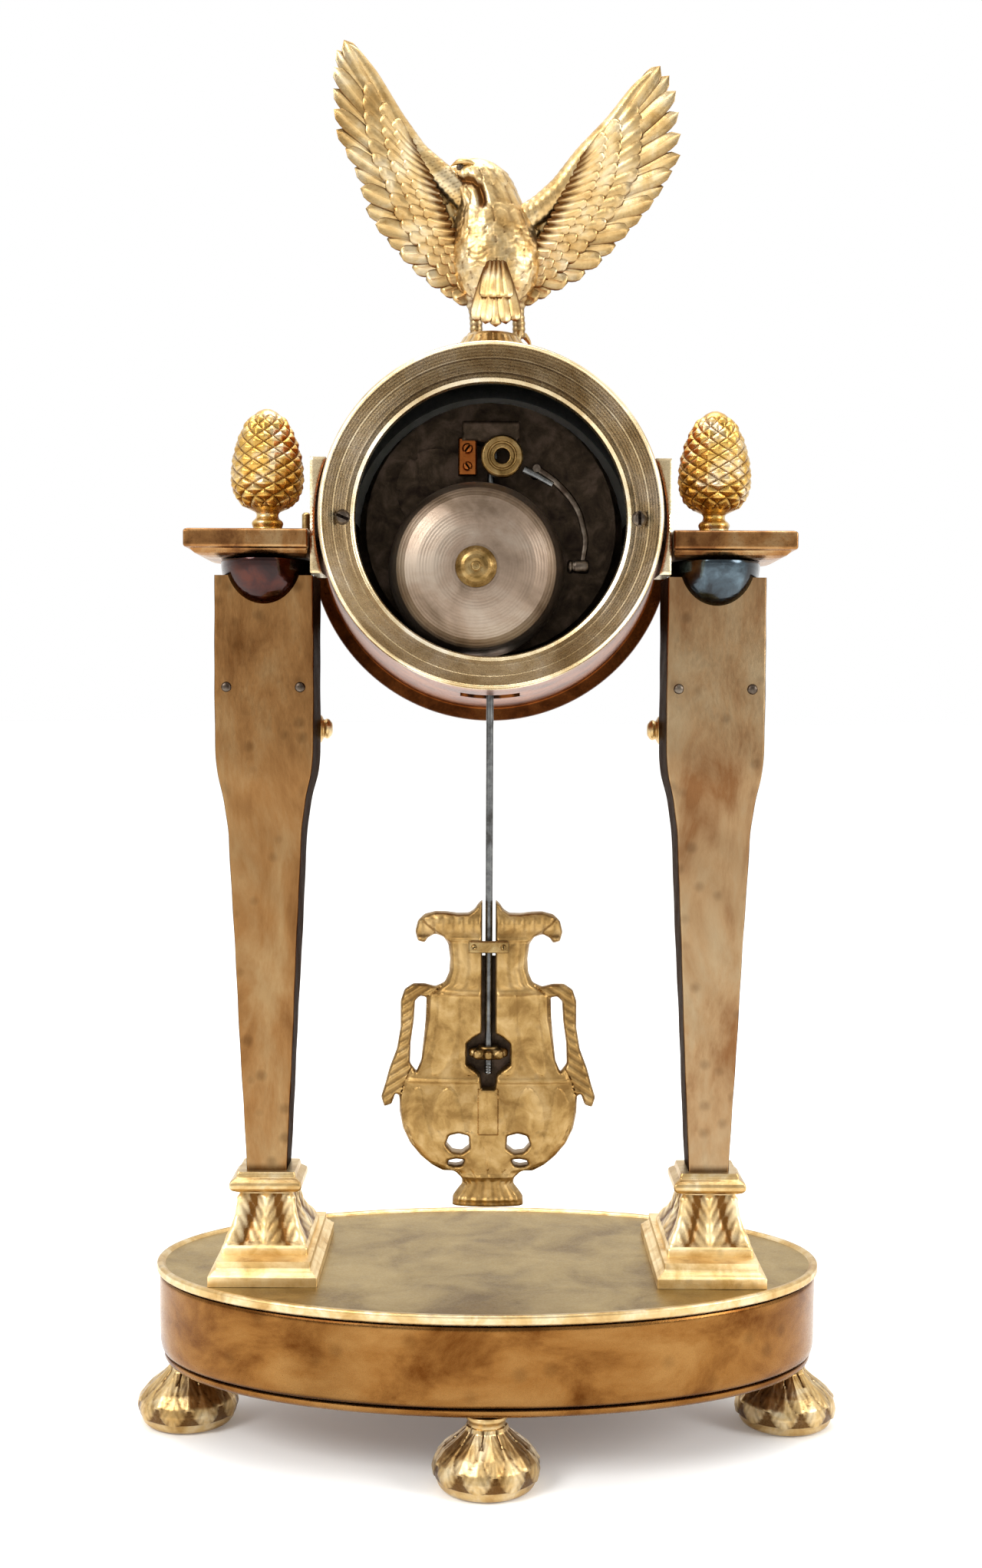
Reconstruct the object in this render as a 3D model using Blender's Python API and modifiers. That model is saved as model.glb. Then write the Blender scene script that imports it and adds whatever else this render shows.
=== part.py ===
"""Portico mantel clock in gilt bronze: an oval base on bell-shaped feet, two tapering pilasters
under pine cones, a drum-cased striking movement between them, an eagle on top and an amphora bob.
The model stands on the floor at z = 0 with the dial towards +Y and the open back towards -Y."""

import math

import bmesh
import bpy
from mathutils import Matrix, Vector

MM = 0.001
GAP = 0.3 * MM

# Base: an oval box on four feet
BASE_HALF_WIDTH = 106.0 * MM
BASE_HALF_DEPTH = 59.5 * MM
BASE_BOTTOM = 22.5 * MM
BASE_WALL = 3.0 * MM
BASE_DECK = 53.5 * MM
BASE_SEGMENTS = 60
FOOT_X = 97.5 * MM
FOOT_Y = 51.0 * MM

# Pilasters, with the axis of each one at (side * COLUMN_X, COLUMN_Y)
COLUMN_X = 70.0 * MM
COLUMN_Y = -8.0 * MM
SHAFT_TOP = 273.0 * MM
ABACUS_BOTTOM = 278.3 * MM
BOWL_HALF_WIDTH = 14.4 * MM
BOWL_DEPTH = 16.6 * MM
BOWL_STRETCH = 1.18

# Drum case and its movement, on a fore-and-aft axis at height DRUM_Z
DRUM_Z = 289.0 * MM
DRUM_INSIDE = 47.5 * MM
PLATE_RADIUS = 39.5 * MM
STRAP_X = 44.3 * MM
BARREL_X = 17.0 * MM
BARREL_Z = DRUM_Z - 9.0 * MM
ESCAPE_Z = DRUM_Z + 9.0 * MM
COUNT_X = -17.0 * MM
COUNT_Z = DRUM_Z + 12.0 * MM
HAMMER_X = 14.0 * MM
HAMMER_Z = DRUM_Z + 17.0 * MM
BELL_X = -4.4 * MM
BELL_Z = DRUM_Z - 14.0 * MM
HINGE_X = -62.7 * MM
HINGE_Y = 41.6 * MM

# Pendulum
PIVOT_Z = DRUM_Z + 20.0 * MM
PENDULUM_Y = -8.0 * MM
ROD_RADIUS = 1.2 * MM
BOB_MIDDLE = 108.0 * MM
NUT_Z = 122.8 * MM

# Eagle
PERCH_BOTTOM = DRUM_Z + 55.0 * MM

FLAT_MATERIALS = {
    "gilt_bronze": ((0.72, 0.50, 0.20, 1.0), 1.0, 0.32),
    "copper_bronze": ((0.46, 0.27, 0.12, 1.0), 1.0, 0.38),
    "amber_bronze": ((0.52, 0.29, 0.09, 1.0), 1.0, 0.30),
    "dark_bronze": ((0.05, 0.03, 0.03, 1.0), 1.0, 0.15),
    "brass": ((0.66, 0.47, 0.22, 1.0), 1.0, 0.28),
    "bell_metal": ((0.55, 0.47, 0.40, 1.0), 1.0, 0.25),
    "steel": ((0.35, 0.35, 0.36, 1.0), 1.0, 0.30),
    "enamel": ((0.86, 0.85, 0.80, 1.0), 0.0, 0.12),
    "glass": ((0.90, 0.93, 0.92, 1.0), 0.0, 0.03),
}


def clear_scene():
    for thing in list(bpy.data.objects):
        bpy.data.objects.remove(thing, do_unlink=True)


def new_collection(name, hidden=False):
    group = bpy.data.collections.new(name)
    bpy.context.scene.collection.children.link(group)
    group.hide_render = hidden
    return group


clear_scene()
CLOCK = new_collection("portico_clock")
CUTTERS = new_collection("cutters", hidden=True)


def make_material(name, finish):
    colour, metallic, roughness = FLAT_MATERIALS[finish]
    material = bpy.data.materials.new(name)
    material.use_nodes = True
    shader = material.node_tree.nodes["Principled BSDF"]
    shader.inputs["Base Color"].default_value = colour
    shader.inputs["Metallic"].default_value = metallic
    shader.inputs["Roughness"].default_value = roughness
    material.diffuse_color = colour
    return material


def add_object(name, data, finish, place=(0.0, 0.0, 0.0)):
    thing = bpy.data.objects.new(name, data)
    thing.location = place
    data.materials.append(make_material(name, finish))
    CLOCK.objects.link(thing)
    return thing


def shade_smooth(thing, angle=math.radians(35)):
    """Round faces are smooth, and edges sharper than the angle stay crisp."""
    mesh = thing.data
    mesh.polygons.foreach_set("use_smooth", [True] * len(mesh.polygons))
    mesh.set_sharp_from_angle(angle=angle)


def mesh_from(name, points, faces):
    mesh = bpy.data.meshes.new(name)
    mesh.from_pydata([tuple(p) for p in points], [], faces)
    work = bmesh.new()
    work.from_mesh(mesh)
    bmesh.ops.recalc_face_normals(work, faces=work.faces)
    work.to_mesh(mesh)
    work.free()
    return mesh


def turned(name, profile, finish, place, steps=40, closed=False, axis="Z"):
    """Turns a profile of (radius, height) in millimetres about Z, or about Y with height along +Y."""
    points = [(r * MM, 0.0, h * MM) for r, h in profile]
    edges = [(i, i + 1) for i in range(len(points) - 1)]
    if closed:
        edges.append((len(points) - 1, 0))
    mesh = bpy.data.meshes.new(name)
    mesh.from_pydata(points, edges, [])
    thing = add_object(name, mesh, finish, place)
    screw = thing.modifiers.new("turn", "SCREW")
    screw.axis = "Z"
    screw.angle = math.tau
    screw.steps = steps
    screw.render_steps = steps
    screw.use_merge_vertices = True
    screw.merge_threshold = 0.00002
    screw.use_normal_calculate = True
    screw.use_smooth_shade = True
    bake(thing)
    if axis == "Y":
        thing.data.transform(Matrix.Rotation(math.radians(-90), 4, "X"))
    shade_smooth(thing)
    return thing


def bake(thing):
    """Replaces an object's data with its evaluated mesh, welded and facing outwards."""
    graph = bpy.context.evaluated_depsgraph_get()
    mesh = bpy.data.meshes.new_from_object(thing.evaluated_get(graph))
    work = bmesh.new()
    work.from_mesh(mesh)
    bmesh.ops.remove_doubles(work, verts=work.verts, dist=0.00001)
    bmesh.ops.recalc_face_normals(work, faces=work.faces)
    work.to_mesh(mesh)
    work.free()
    thing.modifiers.clear()
    thing.data = mesh
    return thing


def add_box(name, low, high, finish, origin=(0.0, 0.0, 0.0)):
    """Box between two corners in millimetres, with its origin where it is asked for."""
    size = [(b - a) * MM for a, b in zip(low, high)]
    middle = [(a + b) / 2 * MM - o for a, b, o in zip(low, high, origin)]
    work = bmesh.new()
    shape = Matrix.Translation(middle) @ Matrix.Diagonal((*size, 1.0))
    bmesh.ops.create_cube(work, size=1.0, matrix=shape)
    mesh = bpy.data.meshes.new(name)
    work.to_mesh(mesh)
    work.free()
    return add_object(name, mesh, finish, origin)


def add_rod(name, start, end, radius, finish, origin=(0.0, 0.0, 0.0), sides=16, end_radius=None):
    """Straight round bar between two points in millimetres."""
    a = Vector(start) * MM
    b = Vector(end) * MM
    turn = (b - a).to_track_quat("Z", "Y").to_matrix().to_4x4()
    shape = Matrix.Translation((a + b) / 2 - Vector(origin)) @ turn
    work = bmesh.new()
    bmesh.ops.create_cone(
        work,
        cap_ends=True,
        segments=sides,
        radius1=radius * MM,
        radius2=(radius if end_radius is None else end_radius) * MM,
        depth=(b - a).length,
        matrix=shape,
    )
    mesh = bpy.data.meshes.new(name)
    work.to_mesh(mesh)
    work.free()
    thing = add_object(name, mesh, finish, origin)
    shade_smooth(thing)
    return thing


def bevel(thing, width, segments=2):
    rounding = thing.modifiers.new("bevel", "BEVEL")
    rounding.width = width * MM
    rounding.segments = segments
    rounding.limit_method = "ANGLE"
    rounding.angle_limit = math.radians(30)
    return thing


def combine(thing, tools, operation):
    """Unites or cuts an object with others, which are then dropped."""
    bpy.context.view_layer.update()
    for tool in tools:
        step = thing.modifiers.new("combine", "BOOLEAN")
        step.operation = operation
        step.solver = "EXACT"
        step.object = tool
    bpy.context.view_layer.update()
    bake(thing)
    for tool in tools:
        bpy.data.objects.remove(tool, do_unlink=True)
    return thing


def as_cutter(thing):
    for group in list(thing.users_collection):
        group.objects.unlink(thing)
    CUTTERS.objects.link(thing)
    thing.display_type = "WIRE"
    thing.hide_render = True
    return thing


def unite(thing, *tools):
    return combine(thing, [as_cutter(tool) for tool in tools], "UNION")


def cut(thing, *tools):
    return combine(thing, [as_cutter(tool) for tool in tools], "DIFFERENCE")


def loft(name, rings, finish, place=(0.0, 0.0, 0.0), looped=False, smooth=True):
    """Skin over rings of points in metres, capped at both ends or joined round into a loop."""
    count = len(rings[0])
    points = [Vector(p) - Vector(place) for ring in rings for p in ring]
    faces = []
    spans = len(rings) if looped else len(rings) - 1
    for row in range(spans):
        after = (row + 1) % len(rings)
        for i in range(count):
            j = (i + 1) % count
            faces.append((row * count + i, row * count + j, after * count + j, after * count + i))
    if not looped:
        faces.append(tuple(range(count)))
        faces.append(tuple((len(rings) - 1) * count + i for i in range(count)))
    thing = add_object(name, mesh_from(name, points, faces), finish, place)
    if smooth:
        shade_smooth(thing)
    return thing


def oval_ring(inset, height):
    """Oval of the base's plan, drawn in by an inset, at one height; both in millimetres."""
    ring = []
    for i in range(BASE_SEGMENTS):
        turn = math.tau * i / BASE_SEGMENTS
        x = (BASE_HALF_WIDTH - inset * MM) * math.cos(turn)
        y = (BASE_HALF_DEPTH - inset * MM) * math.sin(turn)
        ring.append((x, y, height * MM))
    return ring


def rect_ring(x_low, x_high, y_low, y_high, height):
    corners = [(x_low, y_low), (x_high, y_low), (x_high, y_high), (x_low, y_high)]
    return [(x * MM, y * MM, height * MM) for x, y in corners]


def flat_outline(name, outline, holes, low_y, high_y, finish, origin=(0.0, 0.0, 0.0)):
    """Plate cut to an outline of (x, z) in millimetres that fills from low_y to high_y."""
    data = bpy.data.curves.new(name, "CURVE")
    data.dimensions = "2D"
    data.fill_mode = "BOTH"
    data.extrude = (high_y - low_y) / 2 * MM
    data.render_resolution_u = 0
    for loop in [outline, *holes]:
        line = data.splines.new("POLY")
        line.points.add(len(loop) - 1)
        for point, (x, z) in zip(line.points, loop):
            point.co = (x * MM - origin[0], z * MM - origin[2], 0.0, 1.0)
        line.use_cyclic_u = True
    pattern = bpy.data.objects.new(name + "_outline", data)
    CLOCK.objects.link(pattern)
    thing = add_object(name, bpy.data.meshes.new(name), finish, origin)
    material = thing.data.materials[0]
    graph = bpy.context.evaluated_depsgraph_get()
    mesh = bpy.data.meshes.new_from_object(pattern.evaluated_get(graph))
    bpy.data.objects.remove(pattern, do_unlink=True)
    work = bmesh.new()
    work.from_mesh(mesh)
    bmesh.ops.remove_doubles(work, verts=work.verts, dist=0.00001)
    upright = Matrix.Rotation(math.radians(90), 4, "X")
    middle = (low_y + high_y) / 2 * MM - origin[1]
    bmesh.ops.transform(work, matrix=Matrix.Translation((0.0, middle, 0.0)) @ upright, verts=work.verts)
    bmesh.ops.recalc_face_normals(work, faces=work.faces)
    work.to_mesh(mesh)
    work.free()
    mesh.materials.clear()
    mesh.materials.append(material)
    thing.data = mesh
    return thing


def up(height):
    """Height in millimetres of a point that is this far above the middle of the drum."""
    return DRUM_Z / MM + height


def circle(x, z, radius, steps=24):
    turns = [math.tau * i / steps for i in range(steps)]
    return [(x + radius * math.cos(t), z + radius * math.sin(t)) for t in turns]


def mirrored(points, side):
    return [(side * x, z) for x, z in points]


# ---------------------------------------------------------------- base

def build_base():
    low = BASE_BOTTOM / MM
    deck = BASE_DECK / MM
    under = [(3.2, low), (2.0, low + 0.4), (1.2, low + 1.4), (1.2, low + 2.6), (1.8, low + 3.0)]
    loft("base_under_plate", [oval_ring(*step) for step in under], "amber_bronze")

    outer = [(1.0, low + 3.3), (0.2, low + 5.0), (0.0, low + 7.0), (0.0, deck - 2.8)]
    inner = [(BASE_WALL / MM, deck - 2.8), (BASE_WALL / MM, low + 3.3)]
    loft("base_wall", [oval_ring(*step) for step in outer + inner], "amber_bronze", looped=True)

    plate = [(0.6, deck - 2.5), (-1.0, deck - 1.8), (-1.0, deck + 0.4), (-0.4, deck + 1.0)]
    plate += [(0.9, deck + 1.0), (1.5, deck + 0.6), (1.7, deck)]
    loft("base_top_plate", [oval_ring(*step) for step in plate], "gilt_bronze")


def build_feet():
    top = BASE_BOTTOM / MM - 0.3
    profile = [(0, top), (6.4, top), (6.4, 20.8), (5.8, 19.2), (6.4, 17.2), (9.2, 14.8)]
    profile += [(13.4, 11.8), (16.0, 8.6), (16.6, 6.0), (16.0, 3.4), (14.6, 1.2), (13.0, 0.0), (0, 0.0)]
    places = {
        "foot_left": (-FOOT_X, 0.0, 0.0),
        "foot_right": (FOOT_X, 0.0, 0.0),
        "foot_rear": (0.0, -FOOT_Y, 0.0),
        "foot_front": (0.0, FOOT_Y, 0.0),
    }
    for name, place in places.items():
        turned(name, profile, "gilt_bronze", place, steps=24)


# ---------------------------------------------------------------- pilasters

def spread(side, near, far):
    """Low and high x of a span that runs from near to far of the middle on one side."""
    return (near, far) if side > 0 else (-far, -near)


def build_plinth(name, side):
    steps = [(0.0, 53.8), (0.0, 57.0), (1.4, 57.8), (2.4, 59.0), (2.4, 60.8)]
    rings = []
    for inset, height in steps:
        low, high = spread(side, 52.5 + inset, 86.5 - inset)
        rings.append(rect_ring(low, high, -31.5 + inset, 31.5 - inset, height))
    bevel(loft(name, rings, "gilt_bronze"), 0.4)


def build_socle(name, side):
    """Leaf-cast block with hollow sides; it runs forward under the front of the pilaster."""
    steps = [(13.6, 13.4, 27.0, 61.1), (13.6, 13.4, 27.0, 63.2), (11.6, 11.4, 24.0, 65.6)]
    steps += [(9.8, 9.6, 16.0, 69.2), (8.8, 8.6, 11.0, 73.6), (8.4, 8.2, 8.4, 79.2)]
    rings = []
    for half, back, front, height in steps:
        x = side * COLUMN_X / MM
        y = COLUMN_Y / MM
        rings.append(rect_ring(x - half, x + half, y - back, y + front, height))
    bevel(loft(name, rings, "gilt_bronze"), 0.5)


def build_collar(name, side):
    steps = [(9.0, 79.5), (11.4, 80.6), (11.4, 83.6), (9.6, 84.6), (9.4, 86.0)]
    rings = []
    for half, height in steps:
        x = side * COLUMN_X / MM
        y = COLUMN_Y / MM
        rings.append(rect_ring(x - half, x + half, y - half, y + half, height))
    bevel(loft(name, rings, "gilt_bronze"), 0.35)


def build_shaft(name, side):
    """Tapering pilaster that swells into a square head, hollowed at the top for the bowl."""
    steps = [(6.4, 6.4, 7.5, 86.3), (11.4, 9.6, 12.0, 194.0), (12.8, 10.2, 13.0, 204.0)]
    steps += [(14.6, 10.8, 14.2, 211.0), (15.3, 11.0, 15.0, 218.0), (15.3, 11.0, 15.0, SHAFT_TOP / MM)]
    rings = []
    for half, back, front, height in steps:
        x = side * COLUMN_X / MM
        y = COLUMN_Y / MM
        rings.append(rect_ring(x - half, x + half, y - back, y + front, height))
    shaft = loft(name, rings, "copper_bronze", smooth=False)
    cut(shaft, build_bowl(name + "_seat", side, GAP / MM))


def column_at(side, height=0.0):
    return (side * COLUMN_X, COLUMN_Y, height)


def build_bowl(name, side, grow=0.0):
    """Deep oval bowl whose rim lies just under the abacus, longer from front to back."""
    rim = BOWL_HALF_WIDTH / MM + grow
    deep = BOWL_DEPTH / MM + grow
    top = ABACUS_BOTTOM / MM - 0.3
    profile = [(0.0, top + grow * 4), (rim, top + grow * 4)]
    for i in range(1, 9):
        turn = math.radians(90 - 10 * i)
        profile.append((rim * math.sin(turn), top - deep * math.cos(turn)))
    profile.append((0.0, top - deep))
    bowl = turned(name, profile, "dark_bronze", column_at(side), steps=32)
    bowl.data.transform(Matrix.Diagonal((1.0, BOWL_STRETCH, 1.0, 1.0)))
    return bowl


def build_abacus(name, side):
    steps = [(6.6, 0.0), (3.4, 0.7), (1.6, 1.8), (1.6, 2.4), (0.0, 2.8), (0.0, 7.6), (0.7, 8.2)]
    rings = []
    for inset, rise in steps:
        height = ABACUS_BOTTOM / MM + rise
        low, high = spread(side, 55.6 + inset * 0.15, 93.4 - inset)
        rings.append(rect_ring(low, high, -28.0 + inset, 13.0 - inset, height))
    loft(name, rings, "copper_bronze", smooth=False)


def build_cone(name, side):
    profile = [(0, 325.3), (2.6, 324.9), (5.6, 322.4), (8.6, 317.4), (10.5, 310.8), (11.2, 304.6)]
    profile += [(10.2, 299.2), (7.0, 295.4), (3.7, 293.6), (3.5, 292.2), (4.6, 291.2), (4.8, 286.8)]
    profile += [(0, 286.8)]
    turned(name, profile, "gilt_bronze", column_at(side), steps=24)


def build_front_roll(name, side):
    """Cross-lying roll with end knops on the front of the pilaster's shoulder."""
    half = [(0, 18.6), (2.4, 18.4), (3.6, 17.0), (3.0, 15.8), (4.8, 14.8), (5.4, 11.0), (6.2, 5.0)]
    profile = half + [(6.4, 0.0)] + [(r, -h) for r, h in reversed(half)]
    roll = turned(name, profile, "gilt_bronze", (side * COLUMN_X, 13.8 * MM, 225.5 * MM), steps=20)
    roll.data.transform(Matrix.Rotation(math.radians(90), 4, "Y"))


def build_bracket(name, side):
    """Ear between the drum and the abacus, hollowed to the drum."""
    hollow = 53.9
    outer = 55.2
    low = -15.6
    high = 19.6
    curve = []
    for i in range(11):
        z = low + (high - low) * i / 10
        curve.append((math.sqrt(hollow * hollow - z * z), DRUM_Z / MM + z))
    outline = [(outer, DRUM_Z / MM + high), (outer, DRUM_Z / MM + low), *curve]
    flat_outline(name, mirrored(outline, side), [], -24.0, -2.0, "gilt_bronze")


def build_pilasters():
    for word, side in (("left", -1), ("right", 1)):
        build_plinth("plinth_" + word, side)
        build_socle("socle_" + word, side)
        build_collar("collar_" + word, side)
        build_shaft("shaft_" + word, side)
        build_bowl("echinus_" + word, side)
        build_abacus("abacus_" + word, side)
        build_cone("pine_cone_" + word, side)
        build_front_roll("front_roll_" + word, side)
        build_bracket("side_bracket_" + word, side)


# ---------------------------------------------------------------- drum case

def build_drum():
    centre = (0.0, 0.0, DRUM_Z)
    inside = DRUM_INSIDE / MM
    shell = [(inside, -37.5), (50.8, -37.5), (56.4, 33.6), (60.8, 34.2), (60.8, 40.0), (50.4, 40.0)]
    shell += [(50.4, 37.4), (inside, 37.4)]
    drum = turned("drum_case", shell, "copper_bronze", centre, closed=True, axis="Y")
    slot = add_box("rod_slot", (-9.0, -15.0, up(-62.0)), (9.0, -2.6, up(-43.0)), "steel")
    cut(drum, slot)
    shade_smooth(drum)

    rim = [(51.2, -37.8), (51.2, -42.6), (50.4, -43.4), (49.6, -43.0), (41.7, -29.2), (41.0, -27.2)]
    rim += [(42.4, -27.2), (43.3, -29.2), (47.1, -36.0), (47.1, -37.8)]
    ring = turned("rear_rim", rim, "gilt_bronze", centre, closed=True, axis="Y")
    holes = []
    for side in (-1, 1):
        start = (side * STRAP_X / MM, -50.0, DRUM_Z / MM)
        end = (side * STRAP_X / MM, -25.0, DRUM_Z / MM)
        holes.append(add_rod("screw_hole", start, end, 2.6, "steel", sides=20))
    cut(ring, *holes)
    shade_smooth(ring)

    for word, side in (("left", -1), ("right", 1)):
        low, high = spread(side, STRAP_X / MM - 0.9, STRAP_X / MM + 0.9)
        middle = DRUM_Z / MM
        add_box("strap_" + word, (low, -28.7, middle - 2.6), (high, 23.7, middle + 2.6), "steel")
        start = (side * STRAP_X / MM, -38.6, middle)
        end = (side * STRAP_X / MM, -29.0, middle)
        add_rod("strap_screw_" + word, start, end, 2.3, "steel", sides=20)


def build_front():
    """Dial, hands, and the hinged bezel with its glass."""
    centre = (0.0, 0.0, DRUM_Z)
    hinge = (HINGE_X, HINGE_Y, DRUM_Z)
    dial = [(2.4, 40.6), (14.0, 40.4), (30.0, 39.8), (50.0, 38.6), (50.0, 37.7), (2.4, 37.7)]
    face = turned("dial", dial, "enamel", centre, closed=True, axis="Y")
    holes = []
    for side in (-1, 1):
        start = (side * BARREL_X / MM, 30.0, BARREL_Z / MM)
        end = (side * BARREL_X / MM, 45.0, BARREL_Z / MM)
        holes.append(add_rod("winding_hole", start, end, 2.9, "steel", sides=20))
    cut(face, *holes)
    shade_smooth(face)

    ring = [(60.8, 40.3), (60.8, 42.8), (59.4, 45.4), (56.8, 47.2), (54.2, 46.6), (52.6, 45.4)]
    ring += [(51.4, 45.4), (51.4, 43.8), (49.2, 43.8), (49.2, 42.2), (52.0, 40.3)]
    bezel = turned("bezel", ring, "gilt_bronze", centre, closed=True, axis="Y")
    move_origin(bezel, hinge)

    pane = [(0.0, 49.6), (16.0, 49.2), (32.0, 47.9), (44.0, 46.2), (51.0, 45.2), (51.0, 44.1)]
    pane += [(44.0, 45.0), (32.0, 46.7), (16.0, 48.0), (0.0, 48.4)]
    glass = turned("glass", pane, "glass", centre, axis="Y")
    move_origin(glass, hinge)
    add_rod("bezel_hinge", (-62.7, 41.6, up(-9.0)), (-62.7, 41.6, up(9.0)), 1.5, "gilt_bronze")

    build_hand("hour_hand", 28.0, 3.1, 41.6, 42.3, 2.1, 1.7)
    build_hand("minute_hand", 43.0, 2.6, 43.0, 43.7, 1.6, 0.0)


def move_origin(thing, place):
    """Puts an object's origin at a point without moving its shape."""
    shift = Vector(thing.location) - Vector(place)
    thing.data.transform(Matrix.Translation(shift))
    thing.location = place


def build_hand(name, length, hub, low_y, high_y, ring, bore):
    """Moon hand pointing to twelve, with its origin on the arbor."""
    z = DRUM_Z / MM
    moon = length * 0.72
    outline = [(0.0, z + length), (-0.7, z + moon + 4.0)]
    outline += [(x, z + moon + dz) for x, dz in ((-2.2, 2.2), (-3.0, 0.0), (-2.2, -2.2), (-0.7, -3.2))]
    outline += [(-0.9, z + hub + 1.0), (-hub, z + 0.8), (-hub, z - 1.2), (-hub * 0.6, z - hub)]
    outline += [(-x, h) for x, h in reversed(outline[1:])]
    eye = circle(0.0, z + moon, 1.3, steps=12)
    origin = (0.0, low_y * MM, DRUM_Z)
    if bore:
        flat_outline(name, outline, [eye, circle(0.0, z, bore, steps=16)], low_y, high_y, "steel", origin)
        return
    hand = flat_outline(name, outline, [eye], low_y, high_y, "steel", origin)
    arbor = add_rod("arbor", (0.0, 2.9, z), (0.0, 45.6, z), 1.2, "steel", origin)
    unite(hand, arbor)


# ---------------------------------------------------------------- movement

def build_plates():
    z = DRUM_Z / MM
    pillars = []
    for turn in (20, 160, 245, 295):
        x = 35.0 * math.cos(math.radians(turn))
        h = z + 35.0 * math.sin(math.radians(turn))
        pillars.append(add_rod("pillar", (x, -1.0, h), (x, 23.7, h), 2.2, "brass", sides=12))
    bores = [circle(0.0, PIVOT_Z / MM, 1.4, steps=12), circle(COUNT_X / MM, COUNT_Z / MM, 1.4, steps=12)]
    bores.append(circle(HAMMER_X / MM, HAMMER_Z / MM, 1.6, steps=12))
    back = flat_outline("back_plate", circle(0.0, z, PLATE_RADIUS / MM, 40), bores, -2.5, 0.0, "brass")
    unite(back, *pillars)

    bores = [circle(0.0, z, 1.8, steps=16)]
    for side in (-1, 1):
        bores.append(circle(side * BARREL_X / MM, BARREL_Z / MM, 2.4, steps=16))
    flat_outline("front_plate", circle(0.0, z, 43.5, 40), bores, 24.0, 26.5, "brass")


def build_barrels():
    for name, side in (("going_barrel", -1), ("strike_barrel", 1)):
        profile = [(0, -20.0), (2.0, -20.0), (2.0, -2.2), (11.6, -2.2), (11.6, 7.6), (15.4, 7.8)]
        profile += [(15.4, 9.4), (1.6, 9.6), (1.6, 10.4), (0, 10.4)]
        place = (side * BARREL_X, 12.0 * MM, BARREL_Z)
        barrel = turned(name, [(r, h) for r, h in profile], "brass", place, steps=28)
        barrel.data.transform(Matrix.Rotation(math.radians(90), 4, "X"))


def toothed(x, z, teeth, root, tip, lean):
    """Outline of a wheel with pointed teeth that lean round by a share of their pitch."""
    points = []
    for i in range(teeth):
        turn = math.tau * i / teeth
        pitch = math.tau / teeth
        points.append((x + root * math.cos(turn), z + root * math.sin(turn)))
        point = turn + pitch * lean
        points.append((x + tip * math.cos(point), z + tip * math.sin(point)))
        end = turn + pitch * (lean + 0.15)
        points.append((x + root * math.cos(end), z + root * math.sin(end)))
    return points


def build_escapement():
    z = ESCAPE_Z / MM
    origin = (0.0, 11.0 * MM, ESCAPE_Z)
    wheel = flat_outline("escape_wheel", toothed(0, z, 20, 5.0, 6.3, 0.45), [], 10.4, 11.6, "brass", origin)
    unite(wheel, add_rod("arbor", (0, 0.4, z), (0, 23.6, z), 0.7, "steel", origin, sides=12))

    pivot = PIVOT_Z / MM
    origin = (0.0, PENDULUM_Y, PIVOT_Z)
    shape = [(0, 2.4), (3.2, 0.8), (7.6, -5.4), (6.9, -6.4), (3.0, -2.6), (0, -1.7)]
    outline = [(x, pivot + h) for x, h in shape] + [(-x, pivot + h) for x, h in reversed(shape[1:-1])]
    anchor = flat_outline("anchor", outline, [], 10.2, 11.8, "steel", origin)
    arbor = add_rod("arbor", (0, -6.0, pivot), (0, 23.6, pivot), 0.9, "steel", origin, sides=12)
    arm = add_box("arm", (-1.1, -5.9, up(-9.0)), (1.1, -4.9, pivot), "steel", origin)
    bridge = add_box("bridge", (-2.7, -5.9, up(-10.4)), (2.7, -4.9, up(-8.0)), "steel", origin)
    prongs = []
    for side in (-1, 1):
        low, high = spread(side, 1.6, 2.7)
        prongs.append(add_box("prong", (low, -9.8, up(-10.4)), (high, -5.2, up(-8.4)), "steel", origin))
    unite(anchor, arbor, arm, bridge, *prongs)


def build_cock():
    cock = add_box("back_cock", (-9.0, -15.0, up(26.0)), (9.0, -2.8, up(32.0)), "brass")
    boss = add_rod("boss", (3.4, -17.4, up(21.0)), (3.4, -13.2, up(21.0)), 6.5, "brass", sides=28)
    block = add_box("block", (-10.2, -14.0, up(15.4)), (-4.4, -10.6, up(27.0)), "brass")
    unite(cock, boss, block)
    cut(cock, add_rod("eye", (3.4, -20.0, up(21.0)), (3.4, -10.0, up(21.0)), 2.3, "brass", sides=20))
    shade_smooth(cock)


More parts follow.
